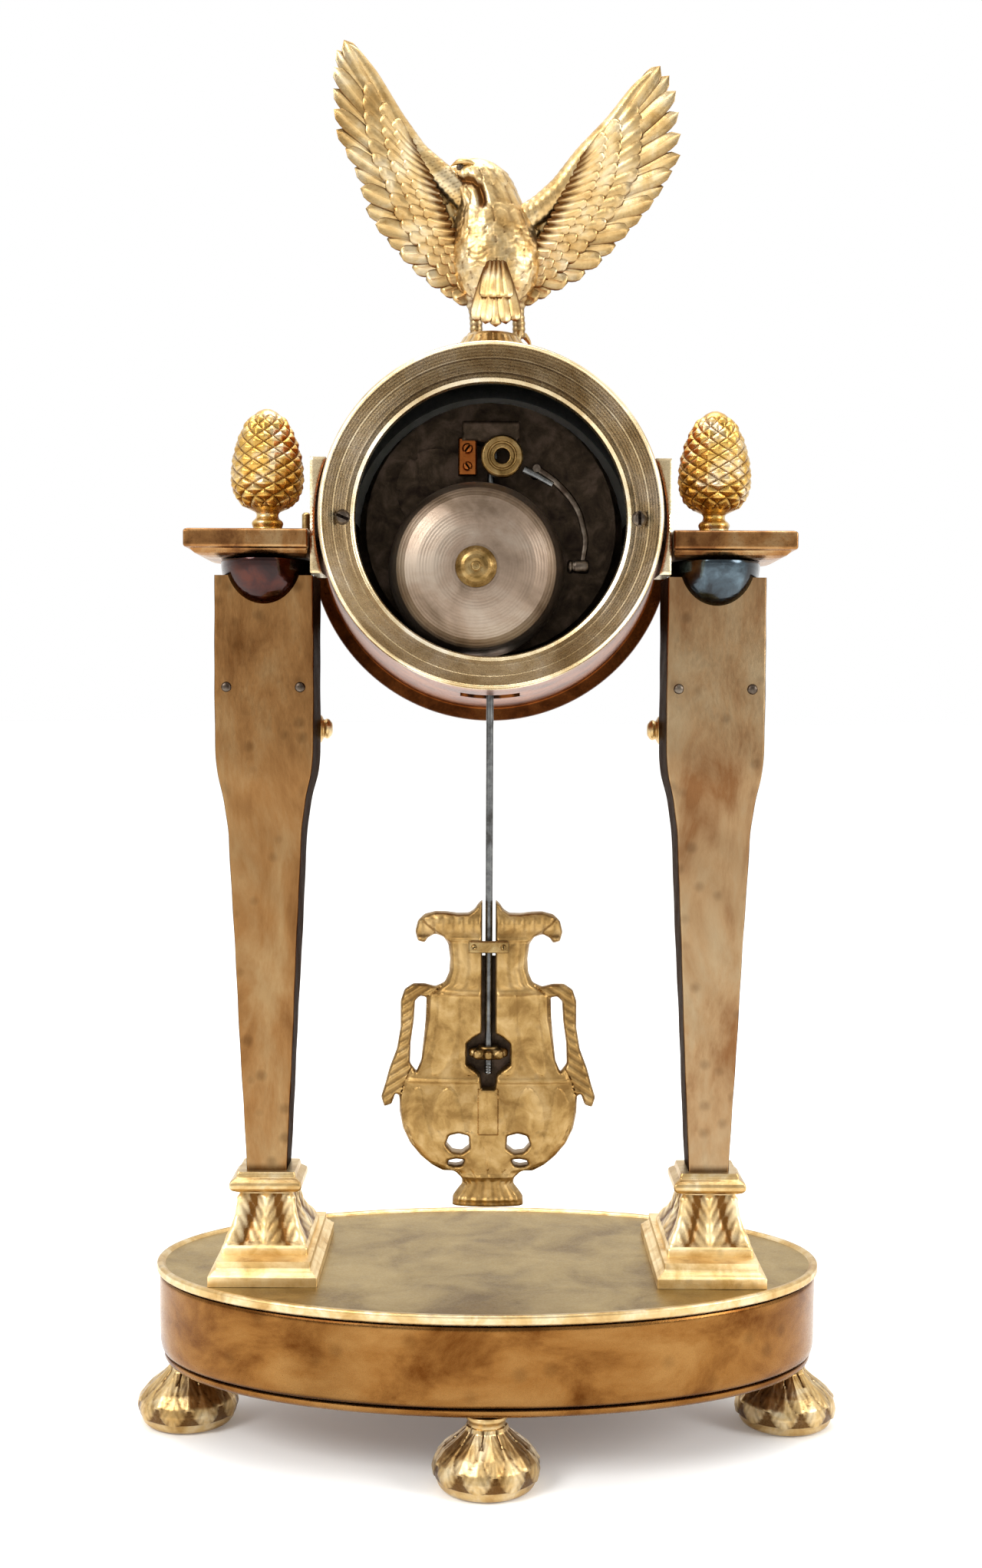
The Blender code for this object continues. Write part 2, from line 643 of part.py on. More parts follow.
def build_strike():
    """Count wheel, hammer, and the bell on its stand."""
    x = COUNT_X / MM
    z = COUNT_Z / MM
    origin = (COUNT_X, -3.9 * MM, COUNT_Z)
    rim = []
    for i in range(36):
        radius = 11.4 if i in (0, 3, 7, 12, 18, 25, 33) else 12.8
        turn = math.tau * i / 36
        for part in (0.1, 0.9):
            angle = turn + math.tau / 36 * part
            rim.append((x + radius * math.cos(angle), z + radius * math.sin(angle)))
    wheel = flat_outline("count_wheel", rim, [], -4.5, -3.3, "brass", origin)
    unite(wheel, add_rod("arbor", (x, -6.2, z), (x, 6.0, z), 1.0, "steel", origin, sides=12))

    origin = (HAMMER_X, -15.0 * MM, HAMMER_Z)
    path = [(14.0, up(17.0)), (19.5, up(13.4)), (27.4, up(4.0)), (29.4, up(-6.0)), (27.6, up(-12.6))]
    arm = []
    for i, (px, pz) in enumerate(path):
        arm.append((px + 1.1, pz + 1.1 if i < 2 else pz))
    for px, pz in reversed(path):
        arm.append((px - 1.1, pz - (1.1 if px < 20 else 0.0)))
    hammer = flat_outline("hammer", arm, [], -18.6, -17.2, "steel", origin)
    head = add_rod("head", (23.6, -17.9, up(-13.2)), (30.4, -17.9, up(-12.6)), 2.2, "steel", origin)
    arbor = add_rod("arbor", (14.0, -18.0, up(17.0)), (14.0, 23.4, up(17.0)), 1.2, "steel", origin, sides=12)
    unite(hammer, head, arbor)
    shade_smooth(hammer)

    bx = BELL_X / MM
    bz = BELL_Z / MM
    foot = add_rod("bell_stand", (-20.0, -2.8, up(-28.0)), (-20.0, -13.8, up(-28.0)), 1.5, "steel")
    sweep = add_rod("sweep", (-20.0, -12.5, up(-28.0)), (bx, -12.5, bz), 1.4, "steel")
    post = add_rod("post", (bx, -11.6, bz), (bx, -33.2, bz), 1.4, "steel")
    unite(foot, sweep, post)

    centre = (BELL_X, 0.0, BELL_Z)
    bell = [(27.2, -14.4), (27.1, -17.0), (25.4, -21.6), (21.6, -26.4), (15.4, -29.6), (8.0, -31.0)]
    bell += [(1.8, -31.3), (1.8, -29.9), (8.0, -29.6), (14.8, -28.2), (20.6, -25.2), (24.0, -20.8)]
    bell += [(25.6, -16.8), (25.8, -14.4)]
    turned("bell", bell, "bell_metal", centre, steps=40, closed=True, axis="Y")
    nut = [(1.7, -34.4), (3.4, -34.2), (5.0, -33.0), (5.4, -31.8), (1.7, -31.6)]
    turned("bell_nut", nut, "brass", centre, steps=20, closed=True, axis="Y")


# ---------------------------------------------------------------- pendulum

def build_pendulum():
    origin = (0.0, PENDULUM_Y, PIVOT_Z)
    y = PENDULUM_Y / MM
    rod = add_rod("pendulum_rod", (0, y, 116.0), (0, y, up(23.0)), ROD_RADIUS / MM, "steel", origin)
    unite(rod, add_box("hook", (-2.0, y - 0.8, up(21.0)), (2.0, y + 0.8, up(25.4)), "steel", origin))

    half = [(2.1, 171.8), (3.6, 170.0), (4.4, 167.4), (15.0, 167.8), (21.0, 166.8), (23.2, 162.6)]
    half += [(20.4, 160.2), (17.2, 162.8), (13.2, 161.0), (12.4, 153.4), (14.8, 147.0), (17.4, 143.6)]
    half += [(23.4, 144.8), (27.4, 139.6), (27.6, 132.0), (30.6, 119.0), (34.2, 110.4), (32.2, 105.6)]
    half += [(29.0, 107.4), (28.0, 99.0), (24.2, 91.8), (17.4, 87.4), (9.4, 84.4), (7.8, 82.2)]
    half += [(10.8, 77.4), (11.4, 73.4), (0, 73.4)]
    slot = [(2.1, 111.0), (2.1, 117.0), (7.0, 118.0), (7.0, 127.8), (2.1, 129.0)]
    outline = half + [(-x, h) for x, h in reversed(half[:-1])]
    outline += [(-x, h) for x, h in reversed(slot)] + slot
    handle = [(19.6, 140.0), (23.2, 139.4), (23.6, 133.0), (24.2, 124.0), (21.6, 119.6), (20.8, 130.0)]
    mesh_hole = [(7.0, 95.6), (12.6, 95.2), (14.4, 92.4), (10.6, 89.8), (7.0, 90.6)]
    holes = [handle, mirrored(handle, -1), mesh_hole, mirrored(mesh_hole, -1)]
    middle = (0.0, PENDULUM_Y, BOB_MIDDLE)
    flat_outline("bob", outline, holes, -12.0, -3.0, "gilt_bronze", middle)
    bar = [(-6.4, 155.4), (6.4, 155.4), (6.4, 159.2), (-6.4, 159.2)]
    cross = flat_outline("bob_crossbar", bar, [], -14.0, -12.3, "brass", middle)
    cross.location = middle

    nut = [(1.5, -1.8), (5.6, -1.8), (6.2, -1.2), (6.2, 1.2), (5.6, 1.8), (1.5, 1.8)]
    turned("rating_nut", nut, "brass", (0.0, PENDULUM_Y, NUT_Z), steps=20, closed=True)


# ---------------------------------------------------------------- eagle

def oval_level(x, y, z, across, deep, steps=20):
    ring = []
    for i in range(steps):
        turn = math.tau * i / steps
        ring.append(((x + across * math.cos(turn)) * MM, (y + deep * math.sin(turn)) * MM, z * MM))
    return ring


def build_wing(name, stations, sweep, root_x):
    """Wing skinned over lens-shaped sections between a leading and a trailing point (x, z),
    with z measured from the foot of the perch."""
    floor = PERCH_BOTTOM / MM
    rings = []
    for i, (lead, trail) in enumerate(stations):
        part = i / (len(stations) - 1)
        thick = 4.2 * (1 - part) + 1.6 * part
        back = sweep * part * part
        ring = []
        for k in range(12):
            turn = math.tau * k / 12
            along = 0.5 - 0.5 * math.cos(turn)
            x = lead[0] + (trail[0] - lead[0]) * along
            z = lead[1] + (trail[1] - lead[1]) * along
            cup = 2.6 * math.sin(math.pi * along)
            y = back + cup - thick / 2 * math.sin(turn)
            ring.append((x * MM, y * MM, (floor + z) * MM))
        rings.append(ring)
    loft(name, rings, "gilt_bronze", (root_x * MM, 0.0, PERCH_BOTTOM + 40.0 * MM))


def build_eagle():
    perch = [(11.0, 12.0, 0.0), (11.4, 12.4, 1.4), (9.6, 10.4, 2.6), (8.6, 9.2, 4.8), (7.6, 8.2, 5.8)]
    floor = PERCH_BOTTOM / MM
    rings = [oval_level(0, 0, floor + z, a, d) for a, d, z in perch]
    loft("eagle_perch", rings, "gilt_bronze")

    levels = [(1.4, 1, 15.6, 6.6, 5.4), (1.6, 1, 19, 10.6, 8.2), (1.4, 1, 25, 13.6, 10.6)]
    levels += [(0.8, 1.4, 33, 13.6, 10.8), (0, 2, 41.6, 11.4, 9.4), (-1.4, 2.6, 49, 8.4, 7.4)]
    levels += [(-3.4, 3, 54.6, 6.8, 6.4), (-5.4, 3, 58.8, 5.4, 5.2), (-6.4, 3, 61.4, 2.6, 2.6)]
    rings = [oval_level(x, y, floor + z, a, d) for x, y, z, a, d in levels]
    body = loft("eagle_body", rings, "gilt_bronze")
    start = (-9.0, 3.0, floor + 55.6)
    beak = add_rod("beak", start, (-15.4, 3.0, floor + 51.6), 2.8, "brass", end_radius=0.6)
    legs = []
    for x in (-5.6, 7.4):
        foot = (x, 2.0, floor + 6.2)
        thigh = (x * 0.8 + 1, 1.6, floor + 19.0)
        legs.append(add_rod("leg", foot, thigh, 2.2, "brass", end_radius=3.4))
    unite(body, beak, *legs)
    shade_smooth(body)

    tail = []
    for z, across, y in ((24.0, 4.6, -11.8), (18.0, 5.6, -12.0), (11.0, 6.6, -12.8), (5.6, 7.2, -13.6)):
        tail.append(oval_level(1.2, y, floor + z, across, 1.5, steps=12))
    loft("eagle_tail", tail, "gilt_bronze")

    left = [((-13.8, 55), (-13.0, 18)), ((-20, 61.4), (-20, 21)), ((-26, 67.6), (-28.6, 31))]
    left += [((-33, 78.6), (-37, 44)), ((-39, 89.4), (-44, 58)), ((-45, 96.6), (-49.4, 70))]
    left += [((-47.4, 97.6), (-50, 88))]
    build_wing("eagle_wing_left", left, -9.0, -13.0)
    right = [((15.4, 47), (15.6, 18.8)), ((21.6, 53.8), (24, 23)), ((29, 64.6), (35.4, 29))]
    right += [((38, 73.6), (46, 43)), ((45.2, 84.2), (53.8, 54.6)), ((50.4, 89.4), (58.4, 64))]
    right += [((53.4, 89.8), (57.6, 78))]
    build_wing("eagle_wing_right", right, -9.0, 15.0)


build_base()
build_feet()
build_pilasters()
build_drum()
build_front()
build_plates()
build_barrels()
build_escapement()
build_cock()
build_strike()
build_pendulum()
build_eagle()
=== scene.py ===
import math

import bmesh
import bpy
import numpy as np
from mathutils import Matrix, Vector, geometry


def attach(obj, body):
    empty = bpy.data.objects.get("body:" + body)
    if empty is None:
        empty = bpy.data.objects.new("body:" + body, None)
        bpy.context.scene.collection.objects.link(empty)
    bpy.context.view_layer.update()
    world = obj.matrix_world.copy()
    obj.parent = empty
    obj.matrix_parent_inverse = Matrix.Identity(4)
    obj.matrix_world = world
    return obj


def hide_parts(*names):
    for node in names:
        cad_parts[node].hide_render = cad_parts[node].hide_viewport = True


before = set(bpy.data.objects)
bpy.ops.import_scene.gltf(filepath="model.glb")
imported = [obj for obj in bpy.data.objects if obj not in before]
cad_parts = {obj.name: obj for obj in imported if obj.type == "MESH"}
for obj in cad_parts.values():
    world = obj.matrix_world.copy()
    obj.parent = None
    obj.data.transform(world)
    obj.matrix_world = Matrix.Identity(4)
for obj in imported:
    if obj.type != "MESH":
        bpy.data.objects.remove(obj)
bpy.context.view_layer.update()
mm = 0.001
print("frame loaded")


# small helpers

def toLinear(code):
    values = [int(code[i:i + 2], 16) / 255 for i in (1, 3, 5)]
    return [v / 12.92 if v < 0.04045 else ((v + 0.055) / 1.055) ** 2.4 for v in values] + [1.0]


def addNode(tree, kind, values=None, links=None, **settings):
    node = tree.nodes.new(kind)
    for key, value in settings.items():
        setattr(node, key, value)
    for key, value in (values or {}).items():
        node.inputs[key].default_value = value
    for key, source in (links or {}).items():
        tree.links.new(source, node.inputs[key])
    return node


def evenLine(points, spacing, soften=0.0, closed=False):
    # a line through the points, cut at even steps, its corners rounded by a weighted running mean
    points = np.asarray(points, float)
    if closed:
        points = np.vstack([points, points[:1]])
    reach = np.concatenate([[0.0], np.cumsum(np.linalg.norm(np.diff(points, axis=0), axis=1))])
    count = max(int(round(reach[-1] / spacing)), 6)
    wanted = np.linspace(0.0, reach[-1], count + 1)
    line = np.stack([np.interp(wanted, reach, points[:, k]) for k in range(points.shape[1])], axis=1)
    if closed:
        line = line[:-1]
    if soften > 0:
        width = max(soften / (reach[-1] / count), 0.3)
        half = min(int(math.ceil(width * 3)), len(line) - 2)
        kernel = np.exp(-0.5 * (np.arange(-half, half + 1) / width) ** 2)
        kernel /= kernel.sum()
        if closed:
            padded = np.vstack([line[-half:], line, line[:half]])
        else:
            padded = np.vstack([2 * line[0] - line[half:0:-1], line, 2 * line[-1] - line[-2:-half - 2:-1]])
        line = np.stack([np.convolve(padded[:, k], kernel, "valid") for k in range(line.shape[1])], axis=1)
    return line


def patch(points, tone=None, wrapRows=False, wrapCols=True):
    tone = np.ones(points.shape[:2]) if tone is None else np.broadcast_to(tone, points.shape[:2])
    return {"points": points, "tone": tone, "wrap": (wrapRows, wrapCols)}


def netPatch(points, faces, tone=None):
    tone = np.ones(len(points)) if tone is None else tone
    return {"points": points, "tone": tone, "faces": faces}


def makePiece(name, patches, finish, body="case", nodes=(), smooth=38):
    # joins grids and nets of points (in mm) into one closed mesh with a tone at each point: patina in the
    # hollows, and painted shade on some pieces
    places, tones, quads, triangles, offset = [], [], [], [], 0
    for part in patches:
        points = part["points"]
        if "faces" in part:
            triangles.append(part["faces"] + offset)
        else:
            rows, cols = points.shape[:2]
            index = np.arange(rows * cols).reshape(rows, cols) + offset
            if part["wrap"][0]:
                index = np.vstack([index, index[:1]])
            if part["wrap"][1]:
                index = np.hstack([index, index[:, :1]])
            corners = (index[:-1, :-1], index[:-1, 1:], index[1:, 1:], index[1:, :-1])
            cells = np.stack(corners, axis=-1)
            if "skip" in part:
                cells = cells[~part["skip"][:cells.shape[0], :cells.shape[1]]]
            quads.append(cells.reshape(-1, 4))
        places.append(points.reshape(-1, 3))
        tones.append(part["tone"].reshape(-1))
        offset += len(places[-1])
    places = np.concatenate(places) * mm
    loops = [q.reshape(-1) for q in quads] + [t.reshape(-1) for t in triangles]
    sizes = [np.full(len(q), 4) for q in quads] + [np.full(len(t), 3) for t in triangles]
    loops = np.concatenate(loops)
    sizes = np.concatenate(sizes)
    mesh = bpy.data.meshes.new(name)
    mesh.vertices.add(len(places))
    mesh.vertices.foreach_set("co", places.ravel())
    mesh.loops.add(len(loops))
    mesh.loops.foreach_set("vertex_index", loops.astype(np.int32))
    mesh.polygons.add(len(sizes))
    mesh.polygons.foreach_set("loop_start", np.concatenate([[0], np.cumsum(sizes)[:-1]]).astype(np.int32))
    mesh.update(calc_edges=True)
    shade = mesh.attributes.new("reliefAndShade", "FLOAT", "POINT")
    shade.data.foreach_set("value", np.concatenate(tones).astype(np.float32))
    work = bmesh.new()
    work.from_mesh(mesh)
    bmesh.ops.remove_doubles(work, verts=work.verts, dist=0.000002)
    bmesh.ops.dissolve_degenerate(work, edges=work.edges, dist=0.000001)
    bmesh.ops.recalc_face_normals(work, faces=work.faces)
    work.to_mesh(mesh)
    work.free()
    mesh.polygons.foreach_set("use_smooth", np.ones(len(mesh.polygons), bool))
    mesh.set_sharp_from_angle(angle=math.radians(smooth))
    mesh.materials.append(finish)
    piece = bpy.data.objects.new(name, mesh)
    bpy.context.scene.collection.objects.link(piece)
    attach(piece, body)
    if nodes:
        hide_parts(*nodes)
    return piece


def spun(profile, steps, centre, axis="z", reliefAndShade=None, closed=False, squash=(1.0, 1.0)):
    # a profile of (radius, height) carried round an axis: (r cos t, r sin t, h), lifted along its normal
    profile = np.asarray(profile, float)
    turn = np.linspace(0.0, math.tau, steps, endpoint=False)[None, :]
    radius = np.repeat(profile[:, :1], steps, axis=1)
    height = np.repeat(profile[:, 1:], steps, axis=1)
    tone = np.ones_like(radius)
    if reliefAndShade is not None:
        slope = np.gradient(profile, axis=0)
        slope /= np.linalg.norm(slope, axis=1, keepdims=True) + 1e-9
        nextOne = np.roll(profile, -1, axis=0)
        area = np.sum(profile[:, 0] * nextOne[:, 1] - nextOne[:, 0] * profile[:, 1])
        side = 1.0 if area > 0 else -1.0
        lift, tone = reliefAndShade(turn + 0 * radius, height, radius)
        held = np.clip(radius / 0.5, 0.0, 1.0)
        radius = radius + lift * held * side * slope[:, 1:]
        height = height - lift * held * side * slope[:, :1]
        tone = np.broadcast_to(tone, radius.shape)
    across = radius * np.cos(turn) * squash[0]
    along = radius * np.sin(turn) * squash[1]
    order = {"z": (across, along, height), "y": (across, height, along), "x": (height, across, along)}[axis]
    points = np.stack([order[k] + centre[k] for k in range(3)], axis=-1)
    return patch(points, tone, wrapRows=closed)


def capped(points, tone):
    # closes the first and last rings of a grid on their middles
    first = np.repeat(points[:1].mean(axis=1, keepdims=True), points.shape[1], axis=1)
    last = np.repeat(points[-1:].mean(axis=1, keepdims=True), points.shape[1], axis=1)
    return patch(np.concatenate([first, points, last]), np.concatenate([tone[:1], tone, tone[-1:]]))


def boxed(levels, spacing, soften, corner, reliefAndShade=None, perSide=20, perCorner=5):
    # rounded rectangles (low x, high x, low y, high y) stacked up through z
    levels = evenLine(levels, spacing, soften)
    lowX, highX, lowY, highY, z = [levels[:, k:k + 1] for k in range(5)]
    corner = np.minimum(corner, np.minimum(highX - lowX, highY - lowY) * 0.49)
    xs, ys, normals = [], [], []
    middles = [(highX - corner, lowY + corner), (highX - corner, highY - corner),
               (lowX + corner, highY - corner), (lowX + corner, lowY + corner)]
    arc = np.linspace(0.0, math.pi / 2, perCorner + 1)[None, :]
    for k, (mx, my) in enumerate(middles):
        turn = arc + (k - 1) * math.pi / 2
        xs.append(mx + corner * np.cos(turn))
        ys.append(my + corner * np.sin(turn))
        normals.append(np.stack([np.cos(turn), np.sin(turn)], axis=-1) + np.zeros((len(levels), 1, 1)))
        share = np.linspace(0.0, 1.0, perSide + 2)[None, 1:-1]
        nx, ny = middles[(k + 1) % 4]
        end = turn[:, -1:]
        sx, sy = mx + corner * np.cos(end), my + corner * np.sin(end)
        ex, ey = nx + corner * np.cos(end), ny + corner * np.sin(end)
        xs.append(sx + (ex - sx) * share)
        ys.append(sy + (ey - sy) * share)
        flat = np.stack([np.cos(end), np.sin(end)], axis=-1)
        normals.append(np.repeat(flat, perSide, axis=1) + np.zeros((len(levels), 1, 1)))
    x = np.concatenate(xs, axis=1)
    y = np.concatenate(ys, axis=1)
    normal = np.concatenate(normals, axis=1)
    height = z + 0 * x
    tone = np.ones_like(x)
    if reliefAndShade is not None:
        share = np.where(np.abs(normal[..., 0]) > np.abs(normal[..., 1]),
                         (y - lowY) / (highY - lowY), (x - lowX) / (highX - lowX))
        lift, tone = reliefAndShade(share, height, normal)
        x = x + lift * normal[..., 0]
        y = y + lift * normal[..., 1]
    return capped(np.stack([x, y, height], axis=-1), tone)


def carried(path, radius, sides=14, flat=1.0, across=(0.0, 1.0, 0.0), reliefAndShade=None):
    # a ring carried along a path, square to it; flat squeezes it along the across direction
    path = np.asarray(path, float)
    radius = np.broadcast_to(radius, (len(path),))
    tangent = np.gradient(path, axis=0)
    tangent /= np.linalg.norm(tangent, axis=1, keepdims=True)
    over = np.broadcast_to(np.asarray(across, float), path.shape)
    side = np.cross(tangent, over)
    side /= np.linalg.norm(side, axis=1, keepdims=True)
    over = np.cross(side, tangent)
    turn = np.linspace(0.0, math.tau, sides, endpoint=False)[None, :, None]
    size = radius[:, None, None] + np.zeros((1, sides, 1))
    tone = np.ones((len(path), sides))
    if reliefAndShade is not None:
        along = np.linspace(0.0, 1.0, len(path))[:, None]
        lift, tone = reliefAndShade(turn[..., 0] + 0 * along, along + 0 * turn[..., 0])
        size = size + lift[..., None]
    points = path[:, None, :] + size * (np.cos(turn) * side[:, None, :] + flat * np.sin(turn) * over[:,
        None, :])
    return capped(points, np.broadcast_to(tone, points.shape[:2]).copy())


def smoothStep(low, high, value):
    share = np.clip((value - low) / (high - low), 0.0, 1.0)
    return share * share * (3 - 2 * share)


def insideOf(points, loops):
    # even-odd rule: counts the crossings of a level line from each point with all the loops
    hit = np.zeros(len(points), bool)
    for loop in loops:
        ax, az = loop[:, 0][None, :], loop[:, 1][None, :]
        bx, bz = np.roll(ax, -1, axis=1), np.roll(az, -1, axis=1)
        px, pz = points[:, :1], points[:, 1:]
        crosses = (az > pz) != (bz > pz)
        cut = ax + (pz - az) * (bx - ax) / np.where(bz == az, 1e-9, bz - az)
        hit ^= (np.sum(crosses & (px < cut), axis=1) % 2).astype(bool)
    return hit


def edgeDistance(points, loops):
    best = np.full(len(points), 1e9)
    for loop in loops:
        a = loop[None, :, :]
        b = np.roll(loop, -1, axis=0)[None, :, :]
        p = points[:, None, :]
        span = b - a
        share = np.clip(np.sum((p - a) * span, axis=-1) / (np.sum(span * span, axis=-1) + 1e-12), 0.0, 1.0)
        best = np.minimum(best, np.linalg.norm(p - a - share[..., None] * span, axis=-1).min(axis=1))
    return best


def castPlate(outline, holes, spacing, surface, soften=0.3):
    # net of points inside an outline of (x, z); surface(x, z, edge distance) gives rear y, front y and tone
    loops = [evenLine(loop, spacing, soften, closed=True) for loop in [outline, *holes]]
    everything = np.concatenate(loops)
    low, high = everything.min(axis=0), everything.max(axis=0)
    gx, gz = np.meshgrid(np.arange(low[0], high[0], spacing), np.arange(low[1], high[1], spacing * 0.87))
    gx = gx + (np.arange(gx.shape[0]) % 2)[:, None] * spacing / 2
    grid = np.stack([gx.ravel(), gz.ravel()], axis=1)
    grid = grid[insideOf(grid, loops)]
    grid = grid[edgeDistance(grid, loops) > spacing * 0.55]
    points = np.concatenate([everything, grid])
    edges, start = [], 0
    for loop in loops:
        ids = np.arange(len(loop)) + start
        edges += list(zip(ids.tolist(), np.roll(ids, -1).tolist()))
        start += len(loop)
    found = geometry.delaunay_2d_cdt([Vector(p) for p in points.tolist()], edges, [], 0, 1e-7)
    points = np.array([tuple(v) for v in found[0]])
    faces = np.array([f for f in found[2] if len(f) == 3])
    faces = faces[insideOf(points[faces].mean(axis=1), loops)]
    distance = edgeDistance(points, loops)
    distance[distance < 1e-4] = 0.0
    rear, front, tone = surface(points[:, 0], points[:, 1], distance)
    back = np.stack([points[:, 0], rear, points[:, 1]], axis=1)
    face = np.stack([points[:, 0], front, points[:, 1]], axis=1)
    total = len(points)
    sides = np.sort(np.concatenate([faces[:, [0, 1]], faces[:, [1, 2]], faces[:, [2, 0]]]), axis=1)
    unique, counts = np.unique(sides, axis=0, return_counts=True)
    rim = unique[counts == 1]
    wallA = np.stack([rim[:, 0], rim[:, 1], rim[:, 1] + total], axis=1)
    wallB = np.stack([rim[:, 0], rim[:, 1] + total, rim[:, 0] + total], axis=1)
    net = np.concatenate([faces, faces[:, ::-1] + total, wallA, wallB])
    return netPatch(np.concatenate([back, face]), net, np.concatenate([tone, tone]))


print("helpers ready")


# finishes

def metalFinish(name, look):
    # cast, rolled or turned metal: patches of colour, a point tone that darkens the hollows as patina and on
    # some pieces adds painted shade, grain and wear in bump
    finish = bpy.data.materials.new(name)
    finish.use_nodes = True
    tree = finish.node_tree
    tree.nodes.clear()
    place = addNode(tree, "ShaderNodeTexCoord")
    stretch = addNode(tree, "ShaderNodeMapping", {"Scale": look.get("stretch", (1, 1, 1))},
                      {"Vector": place.outputs["Object"]})
    patches = addNode(tree, "ShaderNodeTexNoise", {"Scale": 1 / (look["patch"] * mm), "Detail": 6.0,
                      "Roughness": 0.62, "Distortion": look.get("twist", 0.4)},
                      {"Vector": stretch.outputs[0]})
    grain = addNode(tree, "ShaderNodeTexNoise", {"Scale": 1 / (look["grain"] * mm), "Detail": 4.0,
                    "Roughness": 0.7}, {"Vector": stretch.outputs[0]})
    colours = addNode(tree, "ShaderNodeValToRGB", None, {"Fac": patches.outputs["Fac"]})
    ramp = colours.color_ramp
    ramp.elements[0].position, ramp.elements[0].color = 0.34, toLinear(look["dark"])
    ramp.elements[1].position, ramp.elements[1].color = 0.66, toLinear(look["light"])
    middle = ramp.elements.new(0.5)
    middle.color = toLinear(look["base"])
    colour = colours.outputs["Color"]
    if look.get("spots"):
        # small tarnish freckles where the gilding has thinned
        spots = addNode(tree, "ShaderNodeTexVoronoi", {"Scale": 1 / (look["spotSize"] * mm),
                                                       "Randomness": 1.0},
                        {"Vector": place.outputs["Object"]})
        mask = addNode(tree, "ShaderNodeMapRange", {"From Min": 0.10, "From Max": 0.26,
                                                    "To Min": look["spots"],
                       "To Max": 0.0}, {"Value": spots.outputs["Distance"]})
        spotted = addNode(tree, "ShaderNodeMix", {7: toLinear(look["deep"])}, {0: mask.outputs[0], 6: colour},
                          data_type="RGBA")
        colour = spotted.outputs[2]
    if look.get("reliefAndShade", True):
        # the point tone read here holds patina in the hollows and, on some pieces, painted shade
        height = addNode(tree, "ShaderNodeAttribute", attribute_name="reliefAndShade")
        uneven = addNode(tree, "ShaderNodeMath", {1: 0.28, 2: -0.14}, {0: grain.outputs["Fac"]},
                         operation="MULTIPLY_ADD")
        summed = addNode(tree, "ShaderNodeMath", None, {0: height.outputs["Fac"], 1: uneven.outputs[0]},
                         operation="ADD")
        mask = addNode(tree, "ShaderNodeMapRange", {"From Min": 0.05, "From Max": 0.75, "To Min": 1.0,
                       "To Max": 0.0}, {"Value": summed.outputs[0]})
        sunk = addNode(tree, "ShaderNodeMix", {7: toLinear(look["deep"])}, {0: mask.outputs[0], 6: colour},
                       data_type="RGBA")
        colour = sunk.outputs[2]
    rough = addNode(tree, "ShaderNodeMapRange", {"From Min": 0.3, "From Max": 0.7, "To Min": look["rough"][0],
                    "To Max": look["rough"][1]}, {"Value": grain.outputs["Fac"]})
    bump = addNode(tree, "ShaderNodeBump", {"Strength": look.get("bump", 0.5), "Distance": 0.00012},
                   {"Height": grain.outputs["Fac"]})
    waves = addNode(tree, "ShaderNodeBump", {"Strength": look.get("wave", 0.25), "Distance": 0.0006},
                    {"Height": patches.outputs["Fac"], "Normal": bump.outputs[0]})
    shader = addNode(tree, "ShaderNodeBsdfPrincipled", {"Metallic": look.get("metal", 1.0),
                     "Coat Weight": look.get("coat", 0.0), "Coat Roughness": 0.08,
                     "Specular Tint": toLinear(look.get("edge", "#ffffff"))},
                     {"Base Color": colour, "Roughness": rough.outputs[0], "Normal": waves.outputs[0]})
    addNode(tree, "ShaderNodeOutputMaterial", None, {"Surface": shader.outputs[0]})
    return finish


